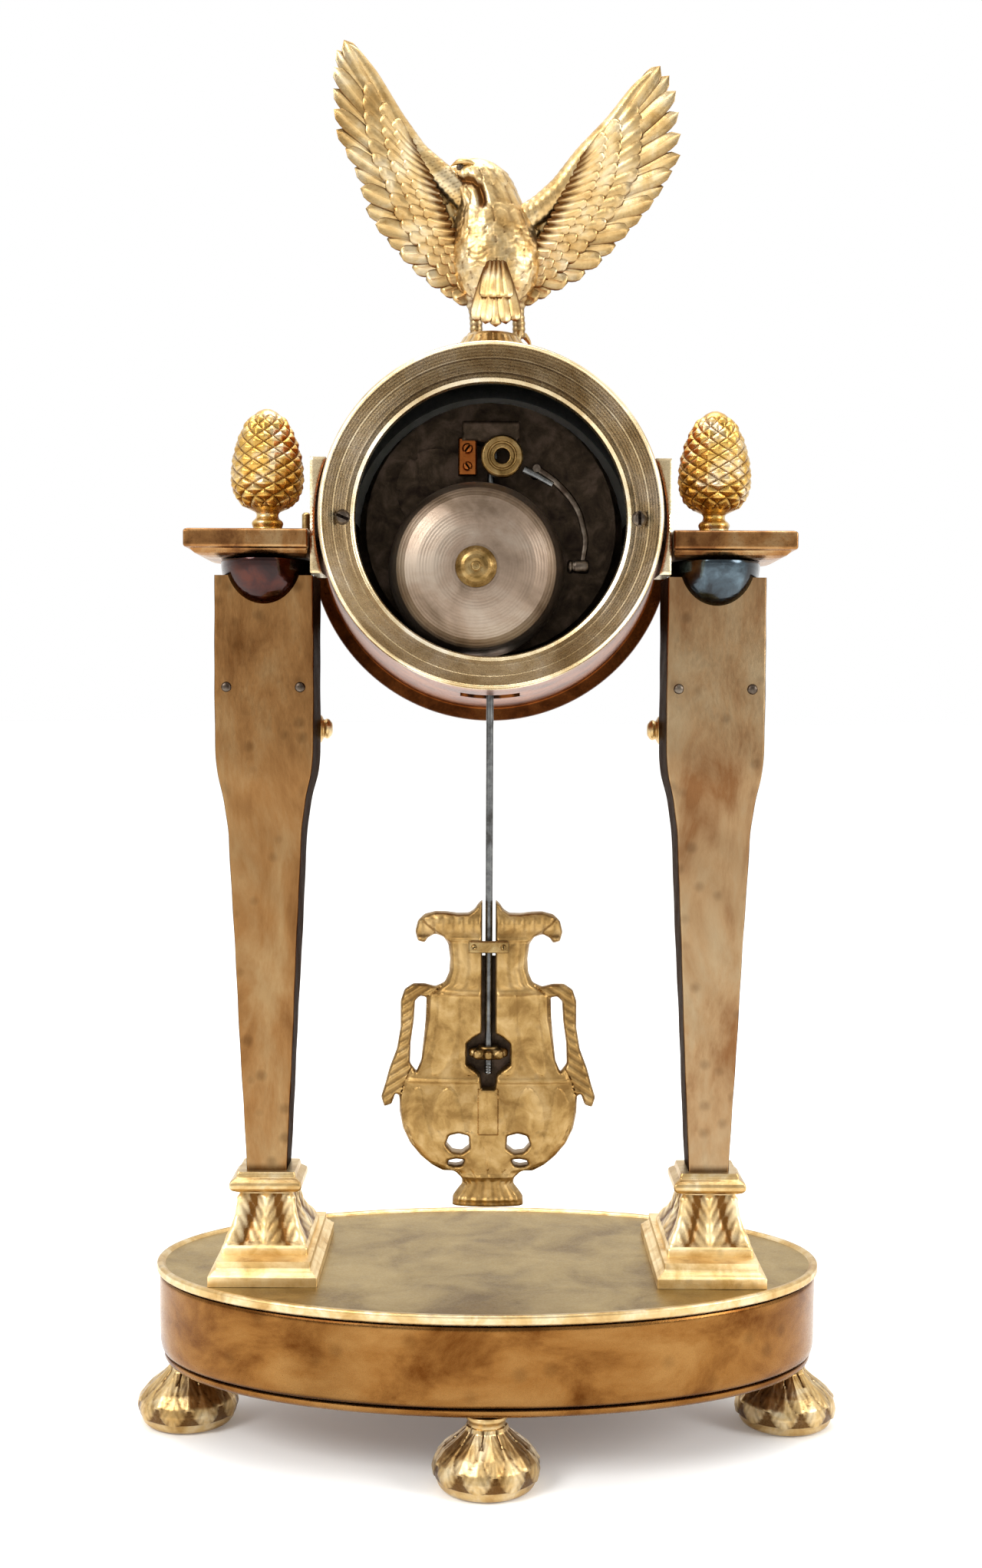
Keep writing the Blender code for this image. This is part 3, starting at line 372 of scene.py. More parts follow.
finishes = {
    # fire-gilt cast bronze, chased and burnished: pale beige gold with brown in the hollows
    "castGilding": {"base": "#c7aa77", "light": "#d6c4a0", "dark": "#ae8b55", "deep": "#533416", "patch": 9.0,
                    "grain": 0.55, "rough": (0.26, 0.42), "bump": 0.45, "spots": 0.25, "spotSize": 6.0},
    # blocks at the foot of the pilasters, the best kept gilding of all
    "brightGilding": {"base": "#ecd09a", "light": "#f8e4b8", "dark": "#d2ae70", "deep": "#6a4620",
                      "patch": 9.0,
                      "grain": 0.55, "rough": (0.34, 0.48), "bump": 0.4, "spots": 0.2, "spotSize": 6.0},
    # the bob's gilding is rubbed thin and tanned
    "tannedGilding": {"base": "#a48451", "light": "#b99b6a", "dark": "#846539", "deep": "#452a11",
                      "patch": 7.0,
                      "grain": 0.6, "rough": (0.34, 0.48), "bump": 0.45, "spots": 0.25, "spotSize": 5.0},
    # the two cones kept a thicker, more yellow gilding than the rest
    "coneGilding": {"base": "#c9a358", "light": "#d5c19e", "dark": "#b38436", "deep": "#5c350f", "patch": 7.0,
                    "grain": 0.5, "rough": (0.22, 0.36), "bump": 0.4},
    # gilding worn through on rolled plate: copper brown, streaked along the pilaster; the left copy is darker
    # by painted shade, the right copy lighter by painted light
    "wornGildingLeftPaintedShade": {"base": "#87623b", "light": "#967953", "dark": "#6a4625", "deep": "#301a09",
                        "patch": 16.0, "grain": 0.9, "rough": (0.30, 0.48), "bump": 0.35, "edge": "#4a3a2a",
                        "stretch": (1.0, 1.0, 0.35), "spots": 0.35, "spotSize": 9.0},
    "wornGildingRightPaintedLight": {"base": "#977a58", "light": "#a08b6c", "dark": "#7a5535", "deep": "#371e0e",
                         "patch": 16.0, "grain": 0.9, "rough": (0.28, 0.46), "bump": 0.35, "edge": "#4a3a2a",
                         "stretch": (1.0, 1.0, 0.35), "spots": 0.3, "spotSize": 9.0},
    # polished amber-toned plate of the base wall
    "amberPlate": {"base": "#7f562a", "light": "#8e6739", "dark": "#583211", "deep": "#2f1707", "patch": 30.0,
                   "grain": 0.8, "rough": (0.20, 0.34), "bump": 0.2, "stretch": (1.0, 1.0, 1.6),
                   "spots": 0.25, "spotSize": 12.0, "wave": 0.35},
    # thin olive-gold sheet of the deck, dulled by handling
    "deckSheet": {"base": "#977f4c", "light": "#a68e5b", "dark": "#7a6131", "deep": "#503714", "patch": 22.0,
                  "grain": 0.7, "rough": (0.30, 0.46), "bump": 0.3, "spots": 0.2, "spotSize": 14.0},
    # copper-red slab under the cones, with a little gilding left
    "copperSlab": {"base": "#92683e", "light": "#a78860", "dark": "#664124", "deep": "#2a1a11", "patch": 12.0,
                   "grain": 0.7, "rough": (0.24, 0.38), "bump": 0.3, "spots": 0.3, "spotSize": 7.0},
    # dark patina polished like lacquer; the left copy is darkened by painted shade, the right copy turned
    # blue-grey by a painted reflection
    "lacquerBrownPaintedShade": {"base": "#30100b", "light": "#451c0f", "dark": "#1d0604", "deep": "#0c0301",
                     "patch": 8.0,
                     "grain": 0.8, "rough": (0.12, 0.24), "bump": 0.15, "coat": 0.5},
    "lacquerBluePaintedReflection": {"base": "#344048", "light": "#53646e", "dark": "#1f2429", "deep": "#0d1113", "patch": 8.0,
                    "grain": 0.8, "rough": (0.12, 0.24), "bump": 0.15, "coat": 0.5},
    # champagne ring round the back of the drum, spun and softly burnished
    "spunChampagne": {"base": "#e0cea9", "light": "#f2e8d3", "dark": "#b9a177", "deep": "#4d3c2b",
                      "patch": 18.0,
                      "grain": 0.5, "rough": (0.22, 0.36), "bump": 0.25, "spots": 0.2, "spotSize": 8.0},
    # copper-brown barrel of the drum, with painted shade inside
    "drumCopper": {"base": "#87491f", "light": "#9d5e2d", "dark": "#5c2c0d", "deep": "#100804", "patch": 14.0,
                   "grain": 0.8, "rough": (0.26, 0.42), "bump": 0.3, "spots": 0.3, "spotSize": 8.0},
    # bell metal, turned and gone pinkish grey
    "bellMetal": {"base": "#8c7a6a", "light": "#9e9081", "dark": "#6e5e4f", "deep": "#42352a", "patch": 20.0,
                  "grain": 0.4, "rough": (0.38, 0.50), "bump": 0.2, "wave": 0.1},
    "agedBrass": {"base": "#8e7246", "light": "#a79064", "dark": "#664f2a", "deep": "#271b0d", "patch": 5.0,
                  "grain": 0.4, "rough": (0.24, 0.42), "bump": 0.3},
    # plates and wheels dulled by old oil; their near-black colour is painted shade inside the case
    "brassPaintedShade": {"base": "#3a3026", "light": "#52443a", "dark": "#241c18", "deep": "#100c0a", "patch": 7.0,
                   "grain": 0.5, "rough": (0.40, 0.60), "bump": 0.3, "reliefAndShade": False},
    "movementBrass": {"base": "#b08a4c", "light": "#cba768", "dark": "#80602e", "deep": "#33230f",
                      "patch": 5.0,
                      "grain": 0.4, "rough": (0.28, 0.44), "bump": 0.3, "reliefAndShade": False},
    # drawn steel wire and small filed steel parts
    "greySteel": {"base": "#626363", "light": "#787978", "dark": "#474644", "deep": "#1a1615", "patch": 4.0,
                  "grain": 0.35, "rough": (0.24, 0.40), "bump": 0.3},
    "darkSteel": {"base": "#544a41", "light": "#71675c", "dark": "#3a2f27", "deep": "#1b1410", "patch": 4.0,
                  "grain": 0.4, "rough": (0.28, 0.44), "bump": 0.3},
    # blued steel: deep blue oxide over polish
    "bluedSteel": {"base": "#26345e", "light": "#3c4f86", "dark": "#161d38", "deep": "#0a0d1c", "patch": 6.0,
                   "grain": 0.3, "rough": (0.14, 0.24), "bump": 0.1},
}
metals = {name: metalFinish(name, look) for name, look in finishes.items()}


def evenFinish(name, settings, tint=None, bump=None):
    # an even material: one noise moves it between two colours, another bends its surface a little
    finish = bpy.data.materials.new(name)
    finish.use_nodes = True
    tree = finish.node_tree
    shader = tree.nodes["Principled BSDF"]
    for key, value in settings.items():
        shader.inputs[key].default_value = value
    place = addNode(tree, "ShaderNodeTexCoord")
    if tint:
        clouds = addNode(tree, "ShaderNodeTexNoise", {"Scale": 1 / (tint["size"] * mm),
                                                      "Detail": tint["detail"]},
                         {"Vector": place.outputs["Object"]})
        colours = addNode(tree, "ShaderNodeValToRGB", None, {"Fac": clouds.outputs["Fac"]})
        for stop, position, code in zip(colours.color_ramp.elements, tint["stops"], tint["colours"]):
            stop.position, stop.color = position, toLinear(code)
        tree.links.new(colours.outputs["Color"], shader.inputs["Base Color"])
    if bump:
        waves = addNode(tree, "ShaderNodeTexNoise", {"Scale": 1 / (bump["size"] * mm),
                                                     "Detail": bump["detail"]},
                        {"Vector": place.outputs["Object"]})
        bent = addNode(tree, "ShaderNodeBump", {"Strength": bump["strength"], "Distance": bump["high"] * mm},
                       {"Height": waves.outputs["Fac"]})
        tree.links.new(bent.outputs[0], shader.inputs["Normal"])
    return finish


# vitreous enamel fired on copper: creamy white with a soft gloss and a hint of orange peel
enamel = evenFinish("whiteEnamel", {"Roughness": 0.16, "IOR": 1.5, "Coat Weight": 0.4},
                    {"size": 14, "detail": 4.0, "stops": (0.35, 0.65), "colours": ("#e9e4d6", "#f6f3ea")},
                    {"size": 1.6, "detail": 2.0, "strength": 0.12, "high": 0.1})
# black enamel paint fired into the dial, faintly uneven from the brush
ink = evenFinish("blackEnamelInk", {"Roughness": 0.3},
                 {"size": 1.2, "detail": 3.0, "stops": (0.0, 1.0), "colours": ("#121015", "#2c2a33")})
# old domed crown glass: nearly clear, with slow waves
glass = evenFinish("crownGlass", {"Base Color": toLinear("#f4faf7"), "Roughness": 0.02, "IOR": 1.5,
                                  "Transmission Weight": 1.0},
                   None, {"size": 18, "detail": 1.0, "strength": 0.08, "high": 0.3})
print("finishes ready")


# base: an oval box on four feet

base = {"halfWidth": 106.0, "halfDepth": 59.5, "bottom": 22.5, "deck": 53.5, "steps": 288}


def ovalBand(profile, steps=None, closed=False, reliefAndShade=None):
    # (inset, z) carried round an oval: x = (a - inset) cos t, y = (b - inset) sin t
    profile = np.asarray(profile, float)
    turn = np.linspace(0.0, math.tau, steps or base["steps"], endpoint=False)[None, :]
    inset, z = profile[:, :1], profile[:, 1:]
    tone = np.ones((len(profile), turn.shape[1]))
    if reliefAndShade is not None:
        lift, tone = reliefAndShade(turn + 0 * z, z + 0 * turn)
        inset = inset - lift
    x = (base["halfWidth"] - inset) * np.cos(turn)
    y = (base["halfDepth"] - inset) * np.sin(turn)
    points = np.stack([x, y, z + 0 * turn], axis=-1)
    if closed:
        return patch(points, tone, wrapRows=True)
    return capped(points, np.broadcast_to(tone, points.shape[:2]).copy())


bottom, deck = base["bottom"], base["deck"]
underside = evenLine([(14.0, bottom), (3.2, bottom), (2.0, bottom + 0.4), (1.2, bottom + 1.4),
                      (1.2, bottom + 2.6),
                      (2.0, bottom + 3.0), (14.0, bottom + 3.0)], 0.5, 0.3)
makePiece("baseUnderPlate", [ovalBand(underside)], metals["amberPlate"], "case", ["base_under_plate"])


def wallDentsAndShade(turn, z):
    # faint dents of a hand-rolled wall; painted shade close under the rim and at the foot, and two painted
    # darker bands on the back of the wall
    dents = 0.10 * np.sin(5 * turn + 1.0) * np.sin(z * 0.12) + 0.05 * np.sin(13 * turn + z * 0.2)
    paintedShading = 1.0 - 0.75 * smoothStep(1.8, 0.0, z - (bottom + 3.3)) - 0.55 * smoothStep(1.4, 0.0, deck - 2.8 - z)
    # painted shade: two darker bands on the back of the wall
    paintedShading = paintedShading - 0.38 * np.exp(-((turn - 4.22) / 0.24) ** 2) - 0.14 * np.exp(-((turn - 4.75) / 0.14) ** 2)
    return dents, np.clip(paintedShading, 0.0, 1.0)


wall = [(3.0, bottom + 3.3), (1.2, bottom + 3.3), (0.5, bottom + 4.2), (0.1, bottom + 6.2),
        (0.0, bottom + 8.0),
        (0.0, deck - 3.6), (0.5, deck - 2.8), (3.0, deck - 2.8)]
makePiece("baseWall", [ovalBand(evenLine(wall, 0.55, 0.25, closed=True), closed=True, reliefAndShade=wallDentsAndShade)],
          metals["amberPlate"], "case", ["base_wall"])

top = [(16.0, deck - 2.6), (0.6, deck - 2.6), (-0.6, deck - 2.0), (-1.0, deck - 1.4), (-0.9, deck - 0.4),
       (-1.0, deck + 0.4), (-0.5, deck + 1.0), (0.7, deck + 1.0), (1.4, deck + 0.5), (1.9, deck),
       (16.0, deck)]
makePiece("baseRim", [ovalBand(evenLine(top, 0.3, 0.18))], metals["castGilding"], "case",
          ["base_top_plate"])


def ovalDisc(inset, level, rings, steps):
    # a flat oval sheet with a hammered unevenness too slight to hold water
    share = np.linspace(0.0, 1.0, rings)[:, None]
    turn = np.linspace(0.0, math.tau, steps, endpoint=False)[None, :]
    x = (base["halfWidth"] - inset) * share * np.cos(turn)
    y = (base["halfDepth"] - inset) * share * np.sin(turn)
    dent = 0.035 * np.sin(x * 0.13 + 1.3) * np.sin(y * 0.17) + 0.02 * np.sin(x * 0.31 - y * 0.22)
    dent = dent * smoothStep(1.0, 0.9, share)
    above = np.stack([x, y, level + 0.16 + dent], axis=-1)
    under = np.stack([x, y, level - 0.5 + 0 * x], axis=-1)
    return [patch(above), patch(under), patch(np.stack([above[-1], under[-1]]))]


makePiece("deckSheet", ovalDisc(1.7, deck, 60, 240), metals["deckSheet"], "case")
print("base ready")


# feet: squat bells with two rows of cast leaves

foot = {"spread": 97.5, "depth": 51.0, "leaves": 9}


def leafRows(turn, z, rows):
    # overlapping leaves: inside each leaf's outline the metal rises to a rounded blade with a sharp midrib
    lift = np.zeros_like(turn)
    tone = np.full_like(turn, 0.12)
    for count, start, end, phase, height in rows:
        share = np.clip((z - start) / (end - start), -0.2, 1.2)
        across = ((turn * count / math.tau + phase) % 1.0 - 0.5) * 2
        half = 0.96 * np.sqrt(np.clip(1.0 - np.clip(share, 0.0, 1.0) ** 2.4, 0.0, 1.0))
        inside = (np.abs(across) < half) & (share > -0.1) & (share < 1.0)
        bulge = np.sqrt(np.clip(1.0 - (across / np.maximum(half, 0.05)) ** 2, 0.0, 1.0))
        rib = np.exp(-(across / 0.09) ** 2)
        veins = 0.5 + 0.5 * np.cos((np.abs(across) * 5.0 - share * 6.0) * math.pi)
        blade = height * (0.35 + 0.65 * bulge) - 0.10 * height * veins * (1 - rib) + 0.22 * height * rib
        lift = np.where(inside, np.maximum(blade, lift * 0.4), lift)
        leaf = np.clip(0.30 + 0.55 * bulge + 0.35 * rib - 0.28 * veins * (1 - rib), 0.0, 1.0)
        tone = np.where(inside, leaf, tone)
    return lift, tone


def footRelief(turn, z, radius):
    rows = [(foot["leaves"], 13.6, 2.8, 0.0, 0.45), (foot["leaves"], 18.2, 8.0, 0.5, 0.60)]
    lift, tone = leafRows(turn, z, rows)
    plain = (z < 3.4) | (z > 18.6) | (radius < 5.6)
    return np.where(plain, 0.0, lift), np.where(plain, 0.85, tone)


bell = [(0, 22.2), (6.2, 22.2), (6.4, 21.0), (5.7, 20.0), (5.5, 19.0), (6.0, 17.2), (8.6, 14.8), (12.8, 11.6),
        (15.3, 8.6), (16.0, 6.0), (15.6, 3.6), (14.9, 2.4), (14.8, 1.6), (14.0, 0.5), (12.8, 0.0), (0, 0.0)]
places = {"foot_left": (-foot["spread"], 0), "foot_right": (foot["spread"], 0),
          "foot_rear": (0, -foot["depth"]), "foot_front": (0, foot["depth"])}
for word, (x, y) in places.items():
    shape = spun(evenLine(bell, 0.28, 0.3), 180, (x, y, 0.0), "z", footRelief)
    makePiece(word.replace("_", "Bell_"), [shape], metals["castGilding"], "case", [word])
print("feet ready")


# pilasters

pilaster = {"x": 70.0, "y": -8.0, "shaftTop": 273.0, "abacus": 278.3}
cones = {"start": 293.8, "end": 324.9, "climb": 8.4, "spirals": 10}


def socleRelief(share, z, normal):
    # one broad acanthus leaf in the middle of each face and half leaves round the corners
    height = (z - 63.4) / (79.2 - 63.4)
    across = (share - 0.5) * 2
    width = 0.52 - 0.22 * height
    middle = np.clip(1 - (across / np.maximum(width, 0.1)) ** 2, 0, 1)
    outer = np.clip(1 - ((np.abs(across) - 1.0) / 0.42) ** 2, 0, 1)
    leaf = np.maximum(np.sqrt(middle), np.sqrt(outer))
    rib = np.exp(-(across / 0.07) ** 2) + np.exp(-((np.abs(across) - 1.0) / 0.10) ** 2)
    veins = 0.5 + 0.5 * np.cos((np.abs(across) * 7 - height * 8) * math.pi)
    shown = smoothStep(0.0, 0.10, height) * smoothStep(1.02, 0.90, height)
    lift = shown * (0.75 * leaf + 0.35 * np.clip(rib, 0, 1) - 0.22 * veins * leaf)
    tone = np.where(shown > 0.1, np.clip(0.10 + 0.55 * leaf + 0.5 * rib - 0.30 * veins, 0, 1), 0.85)
    return lift, tone


def plainEdges(share, z, normal):
    # handling has brightened the arrises, the flats stay duller
    near = np.minimum(share, 1 - share)
    return np.zeros_like(share), np.clip(0.78 + 0.22 * smoothStep(0.05, 0.0, near), 0, 1)


def shaftDentsAndShade(share, z, normal):
    # slight hollows left by filing; painted shade where the shaft meets the collar and the head, and on the
    # side faces
    dents = 0.07 * np.sin(z * 0.11 + share * 3) + 0.04 * np.sin(z * 0.37 + share * 9 + 2.0)
    near = np.minimum(share, 1 - share)
    flank = np.abs(normal[..., 0]) > 0.7
    # painted shade: darker where the shaft meets the collar, on the side faces and at the head
    tone = 0.86 + 0.2 * smoothStep(0.06, 0.0, near) - 0.5 * smoothStep(3.0, 0.0, z - 86.4)
    tone = np.where(flank, tone - 0.62, tone)
    tone = tone - 0.35 * smoothStep(6.0, 0.0, np.abs(z - 207.0)) * smoothStep(0.2, 0.0, near)
    return dents, np.clip(tone, 0.0, 1.0)


def coneRelief(turn, z, radius):
    # two sets of spirals cross into scales; each scale is tipped outwards at its upper end
    share = np.clip((z - cones["start"]) / (cones["end"] - cones["start"]), 0.0, 1.0)
    climb = share * cones["climb"]
    a = (turn * cones["spirals"] / math.tau + climb) % 1.0
    b = (-turn * cones["spirals"] / math.tau + climb) % 1.0
    upper = (a + b) / 2
    bulge = np.clip(1 - np.maximum(np.abs(a - 0.5), np.abs(b - 0.5)) * 2, 0, 1)
    boss = np.sqrt(bulge) * (0.55 + 0.65 * upper)
    shown = smoothStep(0.01, 0.06, share) * smoothStep(1.0, 0.94, share) * smoothStep(3.9, 5.0, radius)
    lift = shown * (1.15 * boss - 0.35)
    tone = np.where(shown > 0.05, np.clip(0.02 + 1.15 * np.sqrt(bulge), 0, 1), 0.8)
    return lift, tone


def rosette(centre, radius, height, petals, side, steps=72):
    # petals round a button on a disc that faces along the y axis
    share = np.linspace(0.0, 1.0, 16)[:, None]
    turn = np.linspace(0.0, math.tau, steps, endpoint=False)[None, :]
    petal = np.abs(np.cos(turn * petals / 2))
    edge = radius * (0.84 + 0.16 * petal)
    button = np.sqrt(np.clip(1 - (share / 0.34) ** 2, 0, 1))
    rise = height * (0.30 + 0.45 * np.sin(np.clip((share - 0.3) / 0.7, 0,
                                                  1) * math.pi) * petal + 0.55 * button)
    rise = rise * smoothStep(1.0, 0.93, share)
    tone = np.clip(0.15 + 0.75 * petal * smoothStep(0.34, 0.5, share) + button, 0, 1)
    x = centre[0] + edge * share * np.cos(turn)
    z = centre[2] + edge * share * np.sin(turn)
    face = np.stack([x, centre[1] + side * rise, z], axis=-1)
    back = np.stack([x, centre[1] - side * 0.4 + 0 * x, z], axis=-1)
    return [patch(face, tone), patch(back), patch(np.stack([face[-1], back[-1]]))]


def span(side, near, far):
    return (near, far) if side > 0 else (-far, -near)


def around(side, half, back, front, z):
    x, y = side * pilaster["x"], pilaster["y"]
    return (x - half, x + half, y - back, y + front, z)


def buildPilaster(word, side):
    levels = [(0.0, 53.75), (0.0, 56.8), (0.7, 57.2), (1.2, 57.9), (1.9, 58.3), (2.4, 59.0), (2.4, 61.0)]
    stack = [(*span(side, 52.5 + i, 86.5 - i), -31.5 + i, 31.5 - i, z) for i, z in levels]
    makePiece("plinthBlock_" + word, [boxed(stack, 0.25, 0.12, 0.5, plainEdges, 26)],
              metals["brightGilding"], "case", ["plinth_" + word])
    stack = [around(side, 13.6, 13.4, 27.0, 61.0), around(side, 13.6, 13.4, 27.0, 63.0),
             around(side, 12.2, 12.0, 25.0, 64.4), around(side, 10.9, 10.8, 21.0, 67.2),
             around(side, 9.6, 9.4, 15.0, 70.4), around(side, 8.7, 8.5, 10.6, 74.4),
             around(side, 8.3, 8.1, 8.3, 79.6)]
    makePiece("acanthusSocle_" + word, [boxed(stack, 0.3, 0.4, 0.9, socleRelief, 34)],
              metals["brightGilding"], "case", ["socle_" + word])
    steps = [(8.6, 79.5), (9.4, 79.8), (10.6, 80.4), (11.3, 81.2), (11.4, 82.2), (11.2, 83.2), (10.2, 84.0),
             (9.4, 84.5), (9.3, 85.4), (9.0, 86.2)]
    stack = [around(side, half, half, half, z) for half, z in steps]
    makePiece("collarMould_" + word, [boxed(stack, 0.22, 0.18, 0.7, plainEdges, 16)],
              metals["castGilding"], "case", ["collar_" + word])
    stack = [around(side, 6.4, 6.4, 7.5, 86.2), around(side, 11.4, 9.6, 12.0, 194.0),
             around(side, 12.8, 10.2, 13.0, 204.0), around(side, 14.6, 10.8, 14.2, 211.0),
             around(side, 15.2, 11.0, 15.0, 217.0), around(side, 15.3, 11.0, 15.0, 224.0),
             around(side, 15.3, 11.0, 15.0, pilaster["shaftTop"])]
    shaft = boxed(stack, 1.0, 1.6, 0.7, shaftDentsAndShade, 24)
    # the left shaft takes the copy darkened by painted shade, the right one the copy lightened by painted
    # light
    paintedShading = "wornGildingLeftPaintedShade" if side < 0 else "wornGildingRightPaintedLight"
    makePiece("hermShaft_" + word, [shaft], metals[paintedShading], "case", ["shaft_" + word])


for word, side in (("left", -1), ("right", 1)):
    buildPilaster(word, side)
    centre = (side * pilaster["x"], pilaster["y"], 0.0)
    bowl = [(0.0, 278.0), (14.3, 278.0), (14.4, 277.4)]
    bowl += [(14.4 * math.cos(math.radians(t)), 277.4 - 16.2 * math.sin(math.radians(t))) for t in range(6,
        90, 6)]
    bowl += [(0.0, 261.2)]
    # the left bowl takes the copy with painted shade, the right one the copy with a painted blue-grey
    # reflection
    bowlShadingCopy = "lacquerBrownPaintedShade" if side < 0 else "lacquerBluePaintedReflection"
    makePiece("echinusBowl_" + word, [spun(evenLine(bowl, 0.5, 0.2), 128, centre, "z", squash=(1.0, 1.3))],
              metals[bowlShadingCopy], "case", ["echinus_" + word])
    levels = [(6.6, 0.0), (4.6, 0.4), (3.0, 1.0), (2.0, 1.9), (1.6, 2.4), (0.3, 2.7), (0.0, 3.2), (0.0, 7.4),
              (0.3, 8.0), (1.0, 8.3)]
    stack = [(*span(side, 55.6 + i * 0.15, 93.4 - i), -28.0 + i, 13.0 - i, pilaster["abacus"] + z)
             for i, z in levels]
    makePiece("abacusSlab_" + word, [boxed(stack, 0.22, 0.15, 0.6, plainEdges, 30)], metals["copperSlab"],
              "case", ["abacus_" + word])
    cone = [(0, 286.5), (4.8, 286.5), (4.9, 287.4), (4.4, 288.2), (4.7, 289.0), (5.0, 289.8), (4.6, 290.6),
            (3.6, 291.4), (3.3, 292.4), (3.7, 293.3), (6.4, 294.6), (9.4, 297.6), (10.8, 301.2),
            (11.0, 304.8),
            (10.5, 309.6), (8.9, 315.6), (6.4, 320.8), (3.2, 324.2), (1.2, 325.2), (0, 325.3)]
    makePiece("pineConeScales_" + word, [spun(evenLine(cone, 0.22, 0.3), 260, centre, "z", coneRelief)],
              metals["coneGilding"], "case", ["pine_cone_" + word])
    roll = [(0, -18.6), (1.8, -18.5), (3.2, -17.4), (3.4, -16.6), (2.8, -15.8), (4.4, -15.0), (5.0, -13.6),
            (4.9, -11.0), (5.8, -6.0), (6.2, 0.0)]
    roll += [(r, -h) for r, h in reversed(roll[:-1])]

    def rollRelief(turn, z, radius):
        # a twisted band of leaves bound at the middle
        band = 0.5 + 0.5 * np.cos(turn * 6 + np.abs(z) * 0.9)
        bound = smoothStep(2.6, 1.4, np.abs(z))
        shown = smoothStep(15.0, 14.0, np.abs(z))
        lift = shown * (0.5 * band * (1 - bound) + 0.35 * bound)
        return lift, np.clip(0.25 + 0.75 * band + bound + (1 - shown), 0, 1)

    rollAt = (side * pilaster["x"], 13.8, 225.5)
    makePiece("leafRoll_" + word, [spun(evenLine(roll, 0.35, 0.3), 96, rollAt, "x", rollRelief)],
              metals["castGilding"], "case", ["front_roll_" + word])
    makePiece("frontRosette_" + word, rosette((side * pilaster["x"], 7.0, 247.0), 9.0, 2.6, 8, 1.0),
              metals["castGilding"], "case")
    pins = []
    for offset in (-11.6, 11.2):
        pin = [(0, -19.8), (0.7, -19.75), (1.3, -19.5), (1.6, -19.1), (1.7, -18.6), (0, -18.6)]
        pinAt = (side * pilaster["x"] + offset, 0.0, 238.6)
        pins.append(spun(evenLine(pin, 0.15, 0.1), 32, pinAt, "y"))
    makePiece("rivetEnds_" + word, pins, metals["darkSteel"], "case")
print("pilasters ready")


# drum case with its rod slot, the dished ring at the back and the brackets beside it

drum = {"z": 289.0, "inside": 47.5, "slotTurn": 10.2, "slotFrom": -15.0, "slotTo": -2.6, "strapX": 44.3,
        "hingeX": -62.7, "hingeY": 41.6}


def up(height):
    return drum["z"] + height


def drumShell():
    # outer and inner walls are one closed grid round the y axis; the slot's cells are left out and walled
    a, b = drum["slotFrom"], drum["slotTo"]
    outerY = np.concatenate([np.linspace(-37.5, a, 20), np.linspace(a, b, 9)[1:],
                             np.linspace(b, 33.4, 30)[1:]])
    outer = np.stack([50.8 + (outerY + 37.5) / 71.1 * 5.6, outerY], axis=1)
    flange = evenLine([(56.5, 33.6), (60.6, 34.0), (60.8, 34.6), (60.8, 39.6), (60.4, 40.0), (50.4, 40.0),
                       (50.4, 37.4), (47.6, 37.4)], 0.5, 0.2)
    innerY = np.concatenate([np.linspace(37.2, b, 24), np.linspace(b, a, 9)[1:],
                             np.linspace(a, -37.4, 14)[1:]])
    inner = np.stack([drum["inside"] + 0 * innerY, innerY], axis=1)
    profile = np.concatenate([outer, flange, inner])
    s = drum["slotTurn"]
    turn = np.concatenate([np.linspace(90, 270 - s, 100), np.linspace(270 - s, 270 + s, 15)[1:],
                           np.linspace(270 + s, 450, 100)[1:-1]])
    turn = np.radians(turn)[None, :]
    radius, y = profile[:, :1], profile[:, 1:]
    points = np.stack([radius * np.cos(turn), y + 0 * turn, radius * np.sin(turn) + drum["z"]], axis=-1)
    # painted shade: the flange, the inside wall and the slot's walls are darker, and the back edge a little
    tone = np.full(points.shape[:2], 0.9)
    tone[radius[:, 0] > 57.0] = 0.22
    tone[len(outer) + len(flange):] = 0.0
    tone[:2] = 0.5
    skip = np.zeros((len(profile), turn.shape[1]), bool)
    i0, j0 = 19, 99
    k0 = len(outer) + len(flange) + 23
    skip[i0:i0 + 8, j0:j0 + 14] = True
    skip[k0:k0 + 8, j0:j0 + 14] = True

    def border(top, bottom):
        cols = np.arange(j0, j0 + 15)
        rows = np.arange(top, bottom + (1 if bottom > top else -1), 1 if bottom > top else -1)
        line = [(top, c) for c in cols[:-1]] + [(r, cols[-1]) for r in rows[:-1]]
        line += [(bottom, c) for c in cols[:0:-1]] + [(r, cols[0]) for r in rows[:0:-1]]
        return points[tuple(np.array(line).T)]

    shell = patch(points, tone, wrapRows=True)
    shell["skip"] = skip
    rim = patch(np.stack([border(i0, i0 + 8), border(k0 + 8, k0)]), 0.15)
    return [shell, rim]


makePiece("drumBarrel", drumShell(), metals["drumCopper"], "case", ["drum_case"], 30)


def ringReliefAndShade(turn, y, radius):
    # chatter marks of the lathe, dirt caught in the two grooves, and painted shade over the upper part
    lift = 0.012 * np.sin(radius * 9.0) + 0.03 * np.sin(turn * 3 + radius)
    # painted shade: the upper half of the dish is darker
    tone = 0.95 - 0.50 * smoothStep(0.35, 0.95, np.sin(turn)) * smoothStep(50.6, 49.0, radius)
    for groove in (43.6, 46.9):
        tone = tone - 0.35 * np.exp(-((radius - groove) / 0.28) ** 2)
    return lift, np.clip(tone, 0, 1)


